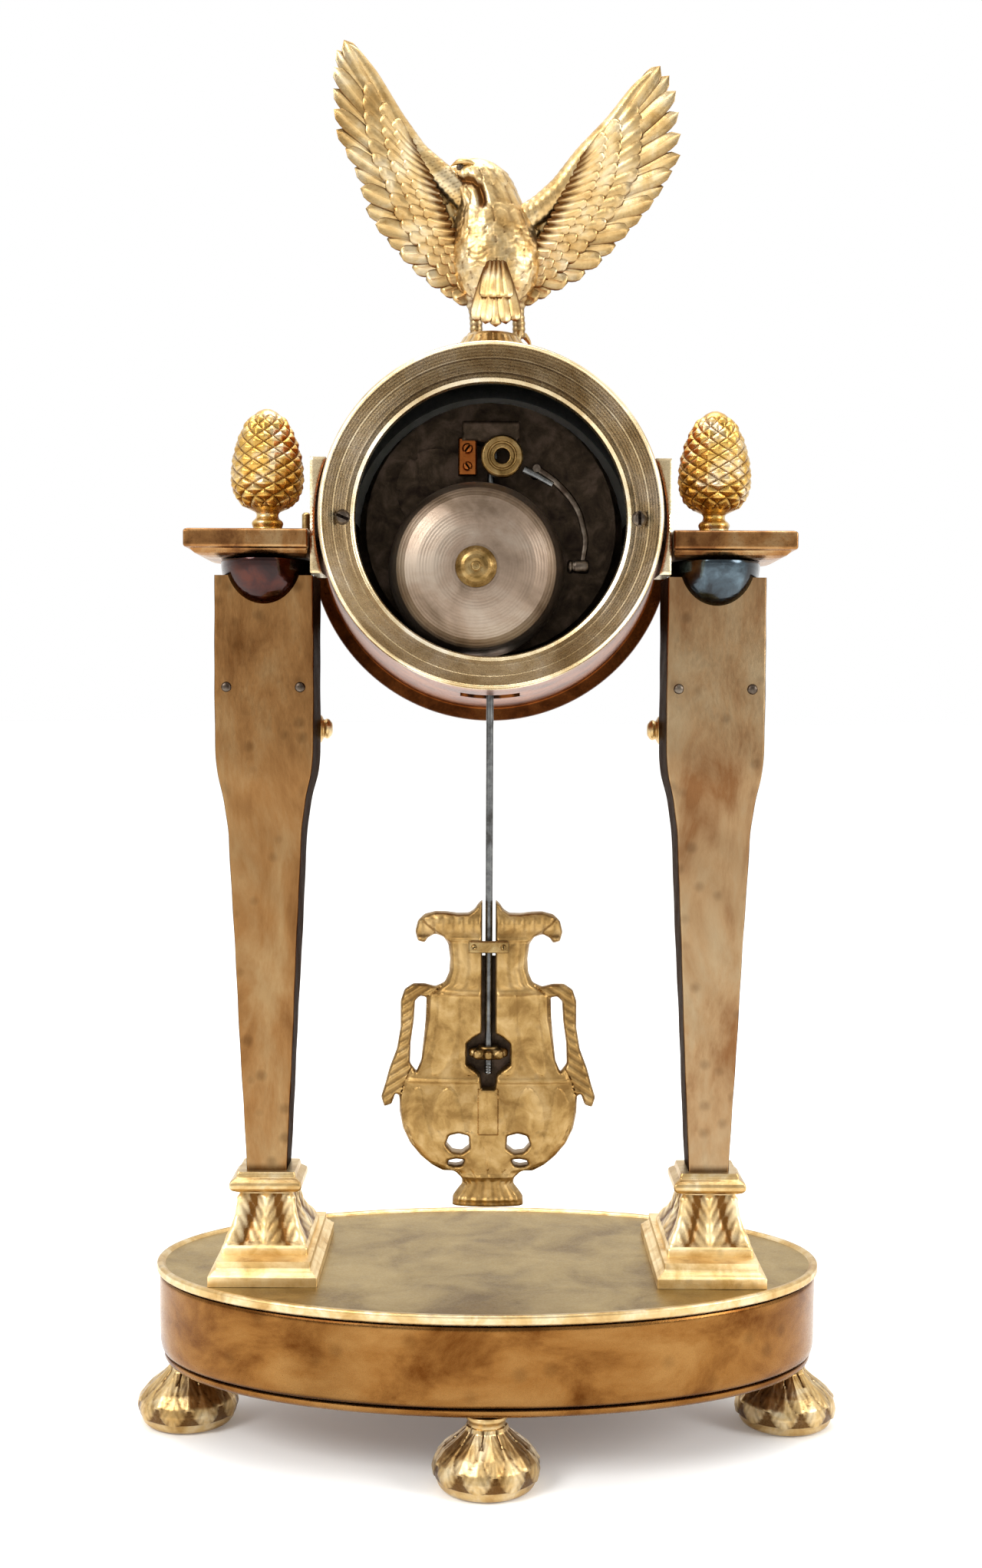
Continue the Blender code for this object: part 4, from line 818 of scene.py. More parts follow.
ring = [(51.2, -37.8), (51.2, -42.4), (50.8, -43.2), (50.3, -43.4), (49.9, -43.0), (49.6, -42.4),
        (47.2, -38.3),
        (46.9, -38.0), (46.6, -37.5), (44.0, -33.3), (43.7, -33.0), (43.4, -32.5), (42.3, -30.7),
        (41.9, -30.6),
        (41.3, -30.3), (40.9, -29.2), (41.0, -27.4), (41.6, -27.2), (42.4, -27.6), (43.3, -29.2),
        (47.1, -36.0),
        (47.1, -37.8)]
makePiece("dishedRing", [spun(evenLine(ring, 0.22, 0.12, closed=True), 256, (0, 0, drum["z"]), "y",
                              ringReliefAndShade,
                              closed=True)],
          metals["spunChampagne"], "case", ["rear_rim"])


def screwHead(centre, radius, slotTurn, reach, face=-1.0):
    # a domed head on a shank that points along y, with a saw cut across it
    profile = evenLine([(0, face * 1.0), (radius * 0.7, face * 0.8), (radius, face * 0.1),
                        (radius, -face * 1.0),
                        (radius * 0.55, -face * 1.1), (radius * 0.5, -face * reach), (0, -face * reach)],
                       0.12, 0.08)

    def slot(turn, y, r):
        inSlot = (np.abs(r * np.sin(turn - slotTurn)) < radius * 0.17) & (y * face > -0.2)
        return np.where(inSlot, -0.55, 0.0), np.where(inSlot, 0.0, 0.9)

    return spun(profile, 72, centre, "y", slot)


for word, side in (("left", -1), ("right", 1)):
    x = side * drum["strapX"]
    makePiece("strapScrew_" + word, [screwHead((x, -37.6, drum["z"]), 2.3, 0.6 + side, 8.6)],
              metals["darkSteel"],
              "case", ["strap_screw_" + word])


def slabSurface(rear, front, edge, dome=0.0):
    # flat faces with quarter-round edges; dome raises both faces away from the edge
    def surface(x, z, distance):
        share = np.clip(distance / edge, 0.0, 1.0)
        drop = edge * (1 - np.sqrt(np.clip(1 - (1 - share) ** 2, 0, 1)))
        swell = dome * smoothStep(0.0, edge * 5, distance)
        tone = 0.75 + 0.25 * smoothStep(edge * 2, 0.0, distance)
        return rear + drop - swell, front - drop + swell, tone
    return surface


def arcPoints(x, z, radius, start, end, count):
    turn = np.radians(np.linspace(start, end, count))
    return [(x + radius * math.cos(t), z + radius * math.sin(t)) for t in turn]


for word, side in (("left", -1), ("right", 1)):
    curve = [(side * math.sqrt(53.9 ** 2 - z * z), up(z)) for z in np.linspace(-15.6, 19.6, 26)]
    outline = [(side * 55.2, up(19.6)), (side * 55.2, up(-15.6)), *curve]
    if side > 0:
        outline = outline[::-1]
    makePiece("sideEar_" + word, [castPlate(outline, [], 0.6, slabSurface(-24.0, -2.0, 0.3), 0.1)],
              metals["spunChampagne"], "case", ["side_bracket_" + word])
print("drum ready")


# movement seen from behind: cock, bell, hammer

movement = {"bellX": -4.4, "bellZ": up(-14.0), "cockX": 3.4, "cockZ": up(21.0)}


def bellReliefAndShade(turn, y, radius):
    # lines left by the turning tool, painted shade round the boss and on the mouth's edge
    lift = 0.02 * np.sin(radius * 7.0) + 0.010 * np.sin(radius * 17.0)
    # painted shade round the boss and on the mouth's edge
    tone = 0.92 + 0.06 * np.sin(radius * 7.0) - 0.3 * np.exp(-((radius - 6.6) / 0.7) ** 2)
    tone = np.where(y > -15.0, 0.4, tone)
    return lift, np.clip(tone, 0, 1)


bellLine = [(27.2, -14.4), (27.25, -15.6), (27.0, -17.4), (26.6, -20.4), (25.9, -23.2), (24.4, -25.8),
            (21.8, -27.8),
            (18.0, -29.3), (13.0, -30.4), (8.0, -31.0), (1.8, -31.3), (1.8, -29.9), (8.0, -29.6),
            (13.0, -29.0),
            (17.6, -27.9), (21.0, -26.5), (23.4, -24.6), (24.8, -20.0), (25.5, -14.4)]
bellAt = (movement["bellX"], 0.0, movement["bellZ"])
makePiece("turnedBell", [spun(evenLine(bellLine, 0.28, 0.2, closed=True), 192, bellAt, "y", bellReliefAndShade,
                              True)],
          metals["bellMetal"], "case", ["bell"])
bossLine = [(0.0, -34.6), (1.3, -34.6), (1.4, -34.3), (1.5, -33.6), (2.4, -33.8), (3.6, -33.7), (4.6, -33.3),
            (5.3, -32.7), (5.7, -32.3), (6.0, -32.0), (6.3, -31.7), (6.3, -31.4), (0.0, -31.4)]
makePiece("bellBoss", [spun(evenLine(bossLine, 0.14, 0.1), 96, bellAt, "y")], metals["agedBrass"], "case",
          ["bell_nut"])

stand = [carried([(-20.0, y, up(-28.0)) for y in np.linspace(-2.8, -13.8, 10)],
                 np.array([2.2, 2.2, 1.5, 1.5, 1.5, 1.5, 1.5, 1.5, 1.5, 1.2]), 20, across=(1.0, 0.0, 0.0)),
         carried(evenLine([(-20.0, -12.5, up(-28.0)), (movement["bellX"], -12.5, movement["bellZ"])], 0.8),
                 1.4, 20),
         carried([(movement["bellX"], y, movement["bellZ"]) for y in np.linspace(-11.6, -33.2, 20)], 1.4, 20,
                 across=(1.0, 0.0, 0.0))]
makePiece("bellStand", stand, metals["darkSteel"], "case", ["bell_stand"])

cockLine = [(2.3, -17.1), (2.6, -17.4), (3.6, -17.4), (3.9, -17.0), (4.3, -17.0), (4.6, -17.5), (5.9, -17.5),
            (6.5, -17.0), (6.5, -13.6), (6.2, -13.2), (2.6, -13.2), (2.3, -13.5)]
cockAt = (movement["cockX"], 0.0, movement["cockZ"])
bridge = [(-9.0, up(26.0)), (-4.4, up(26.0)), (-1.0, up(25.2)), (8.0, up(25.2)), (9.0, up(27.0)),
          (9.0, up(32.0)),
          (-9.0, up(32.0))]
makePiece("backCockBoss", [spun(evenLine(cockLine, 0.16, 0.08, closed=True), 96, cockAt, "y", closed=True)],
          metals["agedBrass"], "case", ["back_cock"])
# the bridge takes the brass darkened as painted shade
makePiece("backCockBridge", [castPlate(bridge, [], 0.5, slabSurface(-15.0, -2.8, 0.5), 0.2)],
          metals["brassPaintedShade"], "case")
block = [(-10.2, up(15.4)), (-4.4, up(15.4)), (-4.4, up(27.0)), (-10.2, up(27.0))]
makePiece("cockBlock", [castPlate(block, [], 0.4, slabSurface(-14.0, -10.6, 0.5), 0.3),
                        screwHead((-7.3, -14.2, up(23.6)), 1.7, 0.9, 1.0),
                        screwHead((-7.3, -14.2, up(18.2)), 1.5, 2.2, 1.0)],
          metals["drumCopper"], "case")

armPath = evenLine([(14.0, -17.9, up(17.0)), (19.5, -17.9, up(13.4)), (24.4, -17.9, up(8.4)),
                    (27.4, -17.9, up(3.4)), (29.4, -17.9, up(-5.0)), (28.2, -17.9, up(-12.6))], 0.5, 1.4)
headLine = [(0, -3.4), (1.5, -3.3), (2.0, -2.9), (2.2, -2.2), (1.7, -1.6), (2.1, -0.9), (2.2, 2.4),
            (1.9, 3.2),
            (0, 3.4)]
tailPath = evenLine([(10.1, -18.6, up(16.7)), (14.4, -18.8, up(14.6)), (18.9, -18.6, up(12.1))], 0.5, 0.4)
# the arm, head and arbor in dark steel stand for painted shade inside the drum; the tail keeps grey steel
makePiece("hammerArm", [carried(armPath, np.linspace(1.25, 0.85, len(armPath)), 16, 0.7),
                        spun(evenLine(headLine, 0.2, 0.12), 48, (27.0, -17.9, up(-12.9)), "x"),
                        carried([(14.0, y, up(17.0)) for y in np.linspace(-19.2, 23.2, 30)], 1.2, 20,
                                across=(1.0, 0.0, 0.0))],
          metals["darkSteel"], "hammer", ["hammer"])
makePiece("hammerTail", [carried(tailPath, np.linspace(1.15, 0.9, len(tailPath)), 16, 0.7)],
          metals["greySteel"], "hammer")

# the plates and count wheel take the brass darkened as painted shade
movementLooks = {"back_plate": "brassPaintedShade", "front_plate": "brassPaintedShade", "count_wheel": "brassPaintedShade",
         "escape_wheel": "movementBrass", "going_barrel": "movementBrass", "strike_barrel": "movementBrass",
         "anchor": "movementSteel", "strap_left": "movementSteel", "strap_right": "movementSteel"}
metals["movementSteel"] = metalFinish("movementSteel", {**finishes["darkSteel"], "reliefAndShade": False})
for node, finish in movementLooks.items():
    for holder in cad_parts[node].material_slots:
        holder.material = metals[finish]
print("movement ready")


# dial side: enamel dial, hands, bezel and glass

dial = {"z": drum["z"], "numerals": 37.5, "numeralHigh": 7.6, "track": 46.2}


def dialFace(radius):
    return np.interp(radius, [0.0, 14.0, 30.0, 50.0], [40.62, 40.4, 39.8, 38.6])


def dialSurface(x, z, distance):
    radius = np.hypot(x, z - dial["z"])
    bulge = 0.25 * (1 - np.clip(distance / 0.6, 0, 1)) ** 2
    return 37.7 + 0 * x, dialFace(radius) - bulge, np.ones_like(x)


wound = [(-17.0, up(-9.0)), (17.0, up(-9.0))]
holes = [arcPoints(0.0, dial["z"], 2.4, 0, 345, 24)] + [arcPoints(x, z, 2.9, 0, 345, 24) for x, z in wound]
makePiece("enamelDial", [castPlate(arcPoints(0, dial["z"], 50.0, 0, 358, 180), holes, 1.5, dialSurface, 0.1)],
          enamel, "case", ["dial"])
eyelets = []
for x, z in wound:
    level = float(dialFace(math.hypot(x, z - dial["z"])))
    line = [(2.5, level - 0.4), (2.5, level + 0.3), (2.8, level + 0.5), (3.3, level + 0.5),
            (3.6, level + 0.2),
            (3.6, level - 0.4)]
    eyelets.append(spun(evenLine(line, 0.12, 0.08, closed=True), 64, (x, 0, z), "y", closed=True))
makePiece("windingEyelets", eyelets, metals["agedBrass"], "case")

strokes = {"I": [(0.0, 0.0, 0.0, 1.0, 0.17)],
           "V": [(-0.22, 1.0, 0.0, 0.0, 0.17), (0.24, 1.0, 0.02, 0.0, 0.07)],
           "X": [(-0.25, 1.0, 0.25, 0.0, 0.17), (0.25, 1.0, -0.25, 0.0, 0.07)]}
widths = {"I": 0.34, "V": 0.66, "X": 0.70}


def painted(across, high, clockTurn, thick=0.09):
    # a flat stroke outline in (across, outward) turned to its hour and laid on the domed dial
    right = np.array([-math.cos(clockTurn), -math.sin(clockTurn)])
    outward = np.array([-math.sin(clockTurn), math.cos(clockTurn)])
    flat = across[..., None] * right + high[..., None] * outward
    radius = np.hypot(flat[..., 0], flat[..., 1])
    y = dialFace(radius)
    low = np.stack([flat[..., 0], y - 0.05, flat[..., 1] + dial["z"]], axis=-1)
    top = np.stack([flat[..., 0], y + thick, flat[..., 1] + dial["z"]], axis=-1)
    return low, top


def strokePatch(x0, h0, x1, h1, width, clockTurn):
    # one stroke as a closed bar of eight levels along its length
    share = np.linspace(0.0, 1.0, 8)
    x, h = x0 + (x1 - x0) * share, h0 + (h1 - h0) * share
    low, top = painted(np.stack([x - width / 2, x + width / 2], axis=1), np.stack([h, h], axis=1), clockTurn)
    return capped(np.stack([low[:, 0], low[:, 1], top[:, 1], top[:, 0]], axis=1), np.ones((8, 4)))


marks = []
size = dial["numeralHigh"]
for hour, word in enumerate(["XII", "I", "II", "III", "IIII", "V", "VI", "VII", "VIII", "IX", "X", "XI"]):
    turn = math.tau * hour / 12
    total = sum(widths[c] for c in word)
    cursor = -total / 2
    for letter in word:
        middle = cursor + widths[letter] / 2
        for x0, h0, x1, h1, width in strokes[letter]:
            start = dial["numerals"] - size / 2
            marks.append(strokePatch((middle + x0) * size, start + h0 * size, (middle + x1) * size,
                                     start + h1 * size, width * size, turn))
        cursor += widths[letter]
    for h in (dial["numerals"] - size / 2, dial["numerals"] + size / 2):
        bar, barTop = painted(np.array([[-total / 2, total / 2]] * 2) * size * 0.98,
                              np.array([[h - 0.18] * 2, [h + 0.18] * 2]), turn)
        marks.append(capped(np.stack([bar[:, 0], bar[:, 1], barTop[:, 1], barTop[:, 0]], axis=1),
                            np.ones((2, 4))))
for minute in range(60):
    big = minute % 5 == 0
    marks.append(strokePatch(0.0, dial["track"] - 0.9, 0.0, dial["track"] + 0.9, 0.75 if big else 0.28,
                             math.tau * minute / 60))
for radius in (dial["track"] - 0.9, dial["track"] + 0.9):
    level = float(dialFace(radius))
    line = [(radius - 0.12, level - 0.05), (radius + 0.12, level - 0.05), (radius + 0.12, level + 0.09),
            (radius - 0.12, level + 0.09)]
    marks.append(spun(np.array(line), 240, (0, 0, dial["z"]), "y", closed=True))
makePiece("dialFigures", marks, ink, "case")


def moonHand(length, hub, bore):
    moon = length * 0.72
    half = [(0.0, length), (-0.45, moon + 6.0), (-0.75, moon + 3.4)]
    half += arcPoints(0.0, moon, 3.0, 105, 255, 13)
    half += [(-0.75, moon - 3.4), (-0.95, hub + 2.0)] + arcPoints(0.0, 0.0, hub, 110, 270, 14)
    outline = half + [(-x, h) for x, h in reversed(half[1:-1])]
    loops = [arcPoints(0.0, moon + 0.3, 1.7, 0, 340, 20)]
    if bore:
        loops.append(arcPoints(0.0, 0.0, bore, 0, 340, 20))
    raised = [[(x, h + dial["z"]) for x, h in loop] for loop in [outline, *loops]]
    return raised[0], raised[1:]


outline, loops = moonHand(28.0, 3.1, 1.7)
makePiece("hourHand", [castPlate(outline, loops, 0.3, slabSurface(41.6, 42.2, 0.2), 0.1)],
          metals["bluedSteel"],
          "hour_hand", ["hour_hand"])
outline, loops = moonHand(43.0, 2.6, 0.0)
collet = [(0, 45.6), (1.0, 45.5), (1.2, 45.1), (1.3, 44.3), (2.0, 44.2), (2.2, 43.9), (2.2, 43.4), (0, 43.4)]
arbor = [(0, 43.6), (1.15, 43.6), (1.15, 3.1), (0, 2.9)]
makePiece("minuteHand", [castPlate(outline, loops, 0.3, slabSurface(43.0, 43.6, 0.2), 0.1),
                         spun(evenLine(collet, 0.14, 0.08), 48, (0, 0, dial["z"]), "y"),
                         spun(evenLine(arbor, 0.8), 32, (0, 0, dial["z"]), "y")],
          metals["bluedSteel"], "minute_hand", ["minute_hand"])


def bezelRelief(turn, y, radius):
    # a wreath of small upright leaves on the sloping face, beads on the inner fillet
    leaves = np.abs(np.sin(turn * 36)) ** 0.7
    zone = smoothStep(54.6, 55.4, radius) * smoothStep(60.2, 59.2, radius) * smoothStep(42.5, 43.6, y)
    vein = np.exp(-(np.cos(turn * 36) / 0.22) ** 2)
    beads = np.abs(np.sin(turn * 90))
    inner = smoothStep(52.2, 52.7, radius) * smoothStep(54.2, 53.7, radius) * smoothStep(44.6, 45.2, y)
    lift = zone * (0.55 * leaves - 0.15 * vein) + inner * 0.4 * beads
    tone = 0.9 - zone * (0.85 - 0.85 * leaves + 0.25 * vein) - inner * 0.6 * (1 - beads)
    return lift, np.clip(tone, 0, 1)


bezelLine = [(60.8, 40.4), (60.9, 42.6), (60.3, 44.2), (58.9, 45.9), (57.0, 46.9), (55.2, 46.9), (54.4, 46.2),
             (53.4, 46.3), (52.5, 45.9), (52.2, 45.4), (51.5, 45.3), (51.4, 43.9), (49.3, 43.7), (49.3, 42.4),
             (52.0, 40.4)]
makePiece("wreathBezel", [spun(evenLine(bezelLine, 0.25, 0.15, closed=True), 720, (0, 0, dial["z"]), "y",
                               bezelRelief, True)],
          metals["castGilding"], "bezel", ["bezel"])
pane = [(0.0, 49.6), (16.0, 49.2), (32.0, 47.9), (44.0, 46.2), (51.0, 45.1), (51.0, 44.2), (44.0, 45.0),
        (32.0, 46.7), (16.0, 48.0), (0.0, 48.4)]
makePiece("domedGlass", [spun(evenLine(pane, 1.0, 0.0), 128, (0, 0, dial["z"]), "y")], glass, "bezel",
          ["glass"])
hinge = [(0, -9.6), (0.9, -9.4), (1.5, -8.8), (1.5, -3.3), (1.35, -3.1), (1.5, -2.9), (1.5, 2.9), (1.35, 3.1),
         (1.5, 3.3), (1.5, 8.8), (0.9, 9.4), (0, 9.6)]
makePiece("hingeKnuckles", [spun(evenLine(hinge, 0.2, 0.1), 48, (drum["hingeX"], drum["hingeY"], dial["z"]),
                                 "z")],
          metals["agedBrass"], "case", ["bezel_hinge"])
print("dial ready")


# pendulum: wire rod, cast amphora, crossbar and star nut

bob = {"y": -7.5, "nut": 122.8}


def rodThread(turn, share):
    # a fine screw thread on the lowest part of the rod
    low = share < 0.10
    return np.where(low, 0.10 * np.sin(turn + share * 900.0), 0.0), np.where(low, 0.7, 0.95)


rodPath = np.array([(0.0, -8.0, z) for z in np.concatenate([np.linspace(116, 136, 120),
                                                            np.linspace(137, 312, 60)])])
hook = [(-2.0, up(21.0)), (2.0, up(21.0)), (2.0, up(25.4)), (-2.0, up(25.4))]
makePiece("steelRod", [carried(rodPath, 1.15, 24, across=(0.0, 1.0, 0.0), reliefAndShade=rodThread),
                       castPlate(hook, [], 0.3, slabSurface(-8.8, -7.2, 0.25), 0.2)],
          metals["greySteel"], "pendulum", ["pendulum_rod"])

bobHalf = [(2.1, 171.6), (3.4, 170.4), (4.6, 168.6), (6.4, 167.4), (10.0, 167.3), (13.4, 167.8),
           (17.0, 168.0),
           (20.4, 167.2), (22.6, 165.0), (23.4, 161.6), (22.6, 158.6), (20.4, 158.0), (19.4, 159.6),
           (17.2, 160.8),
           (14.4, 160.0), (12.9, 157.6), (12.3, 153.0), (12.6, 148.6), (14.0, 145.4), (17.0, 144.0),
           (20.4, 144.9),
           (24.0, 144.9), (26.8, 143.0), (28.0, 139.4), (28.0, 131.0), (29.2, 124.0), (31.6, 117.6),
           (33.0, 112.4),
           (34.2, 108.6), (33.2, 105.4), (30.8, 106.2), (29.6, 109.6), (28.4, 109.0), (28.3, 104.0),
           (27.2, 98.4),
           (24.9, 93.6), (21.6, 89.6), (18.0, 86.6), (14.4, 84.7), (10.4, 84.6), (8.4, 82.6), (8.2, 80.6),
           (9.8, 78.6), (11.2, 76.6), (11.4, 73.6), (0.0, 73.5)]
slotHalf = [(2.1, 111.4), (2.5, 115.6), (4.6, 117.8), (6.9, 119.4), (6.9, 126.0), (4.6, 128.0), (2.1, 129.4)]
bobOutline = bobHalf + [(-x, h) for x, h in reversed(bobHalf[:-1])]
bobOutline += [(-x, h) for x, h in reversed(slotHalf)] + slotHalf
handleEye = [(19.8, 140.6), (21.8, 141.0), (23.4, 139.4), (23.8, 133.0), (24.8, 126.0), (25.0, 119.4),
             (23.0, 116.6),
             (21.4, 120.4), (20.6, 128.0), (20.0, 134.0)]
footEye = [(6.2, 96.4), (9.4, 97.2), (12.4, 96.4), (13.4, 93.6), (11.4, 91.2), (8.4, 90.8), (6.0, 92.6)]
lowEye = [(7.6, 88.8), (10.2, 89.0), (12.6, 88.4), (12.8, 87.0), (10.2, 86.6), (8.4, 87.0)]
bobHoles = []
for eye in (handleEye, footEye, lowEye):
    bobHoles += [eye, [(-x, h) for x, h in reversed(eye)]]
bodyWidth = np.array([(73.0, 11.5), (77.0, 10.5), (81.0, 7.6), (85.0, 12.0), (88.0, 20.0), (94.0, 25.4),
                      (100.0, 28.0),
                      (107.0, 28.6), (114.0, 26.6), (124.0, 21.8), (134.0, 19.6), (141.0, 19.4),
                      (145.0, 14.0),
                      (150.0, 12.4), (158.0, 13.0), (162.0, 18.0), (166.0, 22.4), (168.5, 17.0),
                      (172.0, 6.0)])


def amphora(x, z, distance):
    # a flattened jar: thickness follows a circle across its width, with leaf rows, a neck of flutes and a
    # beaded lip
    half = np.interp(z, bodyWidth[:, 0], bodyWidth[:, 1])
    share = np.clip(np.abs(x) / half, 0.0, 1.0)
    belly = np.sqrt(1 - share ** 2) * smoothStep(0.0, 1.6, half * (1 - share) + 0.3)
    turn = np.arcsin(np.clip(x / half, -1.0, 1.0)) + math.pi
    rows = [(13, 139.8, 116.0, 0.5, 0.55), (13, 88.0, 112.0, 0.0, 0.65), (15, 83.6, 98.0, 0.5, 0.7)]
    leaves, leafTone = leafRows(turn, z, rows)
    flutes = 0.5 + 0.5 * np.cos(turn * 18)
    neck = smoothStep(143.2, 145.0, z) * smoothStep(159.0, 157.4, z)
    stem = smoothStep(82.8, 81.4, z)
    lip = smoothStep(160.2, 161.2, z)
    eggs = np.abs(np.cos(x * 0.98)) * np.clip(1 - np.abs(z - 164.2) / 3.0, 0, 1)
    bands = sum(np.exp(-((z - level) / 0.55) ** 2) for level in (114.0, 142.0, 159.2, 83.4, 76.0))
    onBody = (1 - neck) * (1 - stem) * (1 - lip) * (share < 0.995)
    lift = onBody * leaves * 0.55 + (0.35 * neck + 0.4 * stem) * flutes + lip * 0.7 * eggs + 0.45 * bands
    tone = onBody * (0.42 + 0.5 * leafTone) + neck * (0.45 + 0.5 * flutes) + stem * (0.4 + 0.5 * flutes)
    tone = np.clip(tone + lip * (0.35 + 0.65 * eggs) + 0.6 * bands + 0.12, 0, 1)
    handle = (np.abs(x) > half) & (z > 100) & (z < 146)
    ribs = 0.5 + 0.5 * np.cos(z * 2.2 + np.abs(x) * 1.4)
    lift = np.where(handle, 0.35 * ribs, lift)
    tone = np.where(handle, 0.35 + 0.55 * ribs, tone)
    channel = (np.abs(x) < 3.2) & (z < 111.6) & (z > 97.0)
    lift = np.where(channel, lift - 0.5, lift)
    thick = np.where(handle, 1.7, 1.35 + 2.6 * belly)
    edge = 1.0
    near = np.clip(distance / edge, 0.0, 1.0)
    drop = edge * (1 - np.sqrt(np.clip(1 - (1 - near) ** 2, 0, 1)))
    body = thick - drop + lift * smoothStep(0.0, 1.2, distance)
    tone = np.where(distance < 0.5, 0.55, tone)
    return bob["y"] - body, bob["y"] + body, tone


backing = [(-9.4, 109.0), (9.4, 109.0), (10.4, 118.0), (9.0, 131.0), (7.4, 143.0), (6.4, 153.6),
           (-6.4, 153.6),
           (-7.4, 143.0), (-9.0, 131.0), (-10.4, 118.0)]
# the backing behind the bob takes the brass darkened as painted shade
makePiece("bobBacking", [castPlate(backing, [], 0.6, slabSurface(-5.6, -4.4, 0.4), 0.4)],
          metals["brassPaintedShade"], "bob")
makePiece("amphoraBob", [castPlate(bobOutline, bobHoles, 0.42, amphora, 0.35)], metals["tannedGilding"],
          "bob", ["bob"])
bar = [(-6.4, 155.4), (6.4, 155.4), (6.4, 159.2), (-6.4, 159.2)]
makePiece("rodCrossbar", [castPlate(bar, [], 0.3, slabSurface(-14.0, -12.3, 0.4), 0.3),
                          screwHead((-4.6, -14.1, 157.3), 0.95, 0.5, 1.6),
                          screwHead((4.6, -14.1, 157.3), 0.95, 1.9, 1.6)],
          metals["agedBrass"], "bob", ["bob_crossbar"])


def starRelief(turn, z, radius):
    # eight points filed round the edge for the fingers
    points = 0.5 + 0.5 * np.cos(turn * 8)
    edge = smoothStep(3.2, 5.8, radius)
    return -1.5 * edge * (1 - points) ** 1.5, np.clip(0.5 + 0.5 * points, 0, 1)


nutLine = [(1.45, -1.8), (3.6, -1.8), (5.4, -1.5), (6.2, -0.9), (6.25, 0.9), (5.4, 1.5), (3.6, 1.7),
           (3.2, 2.3),
           (1.9, 2.4), (1.45, 2.2)]
makePiece("starNut", [spun(evenLine(nutLine, 0.18, 0.1, closed=True), 144, (0.0, -8.0, bob["nut"]), "z",
                           starRelief, True)],
          metals["agedBrass"], "rating_nut", ["rating_nut"])
print("pendulum ready")


# eagle: feathered body and head, two fanned wings, tail, legs and a leaf-edged perch

eagle = {"perch": 344.0, "rows": 18, "ring": 16}


def wingDepth(x):
    # the wings sweep back from the shoulders to their tips
    return 2.0 - 10.5 * (np.abs(x - 1.0) / 55.0) ** 1.5


def feather(root, tip, width, rise, side, bend=0.0, thick=0.55, depth=None):
    # a blade from root to tip: a lens section with a raised quill, its outline rounded at the tip
    s = np.linspace(0.0, 1.0, eagle["rows"])[:, None]
    root, tip = np.asarray(root, float), np.asarray(tip, float)
    run = (tip - root) / np.linalg.norm(tip - root)
    over = np.array([-run[1], run[0]])
    middle = root + (tip - root) * s + over * bend * np.sin(s * math.pi)
    half = width * (0.55 + 0.45 * np.sin(np.clip(s * 1.25, 0, 1) * math.pi / 2))
    half = half * np.sqrt(np.clip(1 - np.clip((s - 0.80) / 0.20, 0, 1) ** 2.2, 0, 1)) * smoothStep(-0.02,
        0.04, s)
    turn = np.linspace(0.0, math.tau, eagle["ring"], endpoint=False)[None, :]
    across = half * np.cos(turn)
    quill = np.exp(-(np.cos(turn) / 0.16) ** 2)
    barbs = 0.5 + 0.5 * np.cos((s * 16 - np.abs(np.cos(turn)) * 2.4) * math.tau)
    shape = np.clip(half / width, 0, 1)
    high = thick * np.sin(turn) * (1 + 0.8 * quill) * shape
    droop = 0.45 * np.cos(turn) ** 2 * shape
    x = middle[:, :1] + over[0] * across
    z = middle[:, 1:] + over[1] * across
    ground = wingDepth(x) if depth is None else depth[0] + (depth[1] - depth[0]) * s
    y = ground + side * (rise + droop * -1.0) - high
    # painted shade at each feather's root, under the row above, and along its edges
    tone = np.clip(0.12 + 0.62 * smoothStep(0.0, 0.75, s) + 0.35 * quill - 0.22 * barbs
                   - 0.45 * np.abs(np.cos(turn)) ** 6, 0, 1)
    return patch(np.stack([x, y, z], axis=-1), tone)


def alongLine(points, shares):
    points = np.asarray(points, float)
    reach = np.concatenate([[0.0], np.cumsum(np.linalg.norm(np.diff(points, axis=0), axis=1))])
    wanted = np.asarray(shares) * reach[-1]
    return np.stack([np.interp(wanted, reach, points[:, k]) for k in range(2)], axis=1)


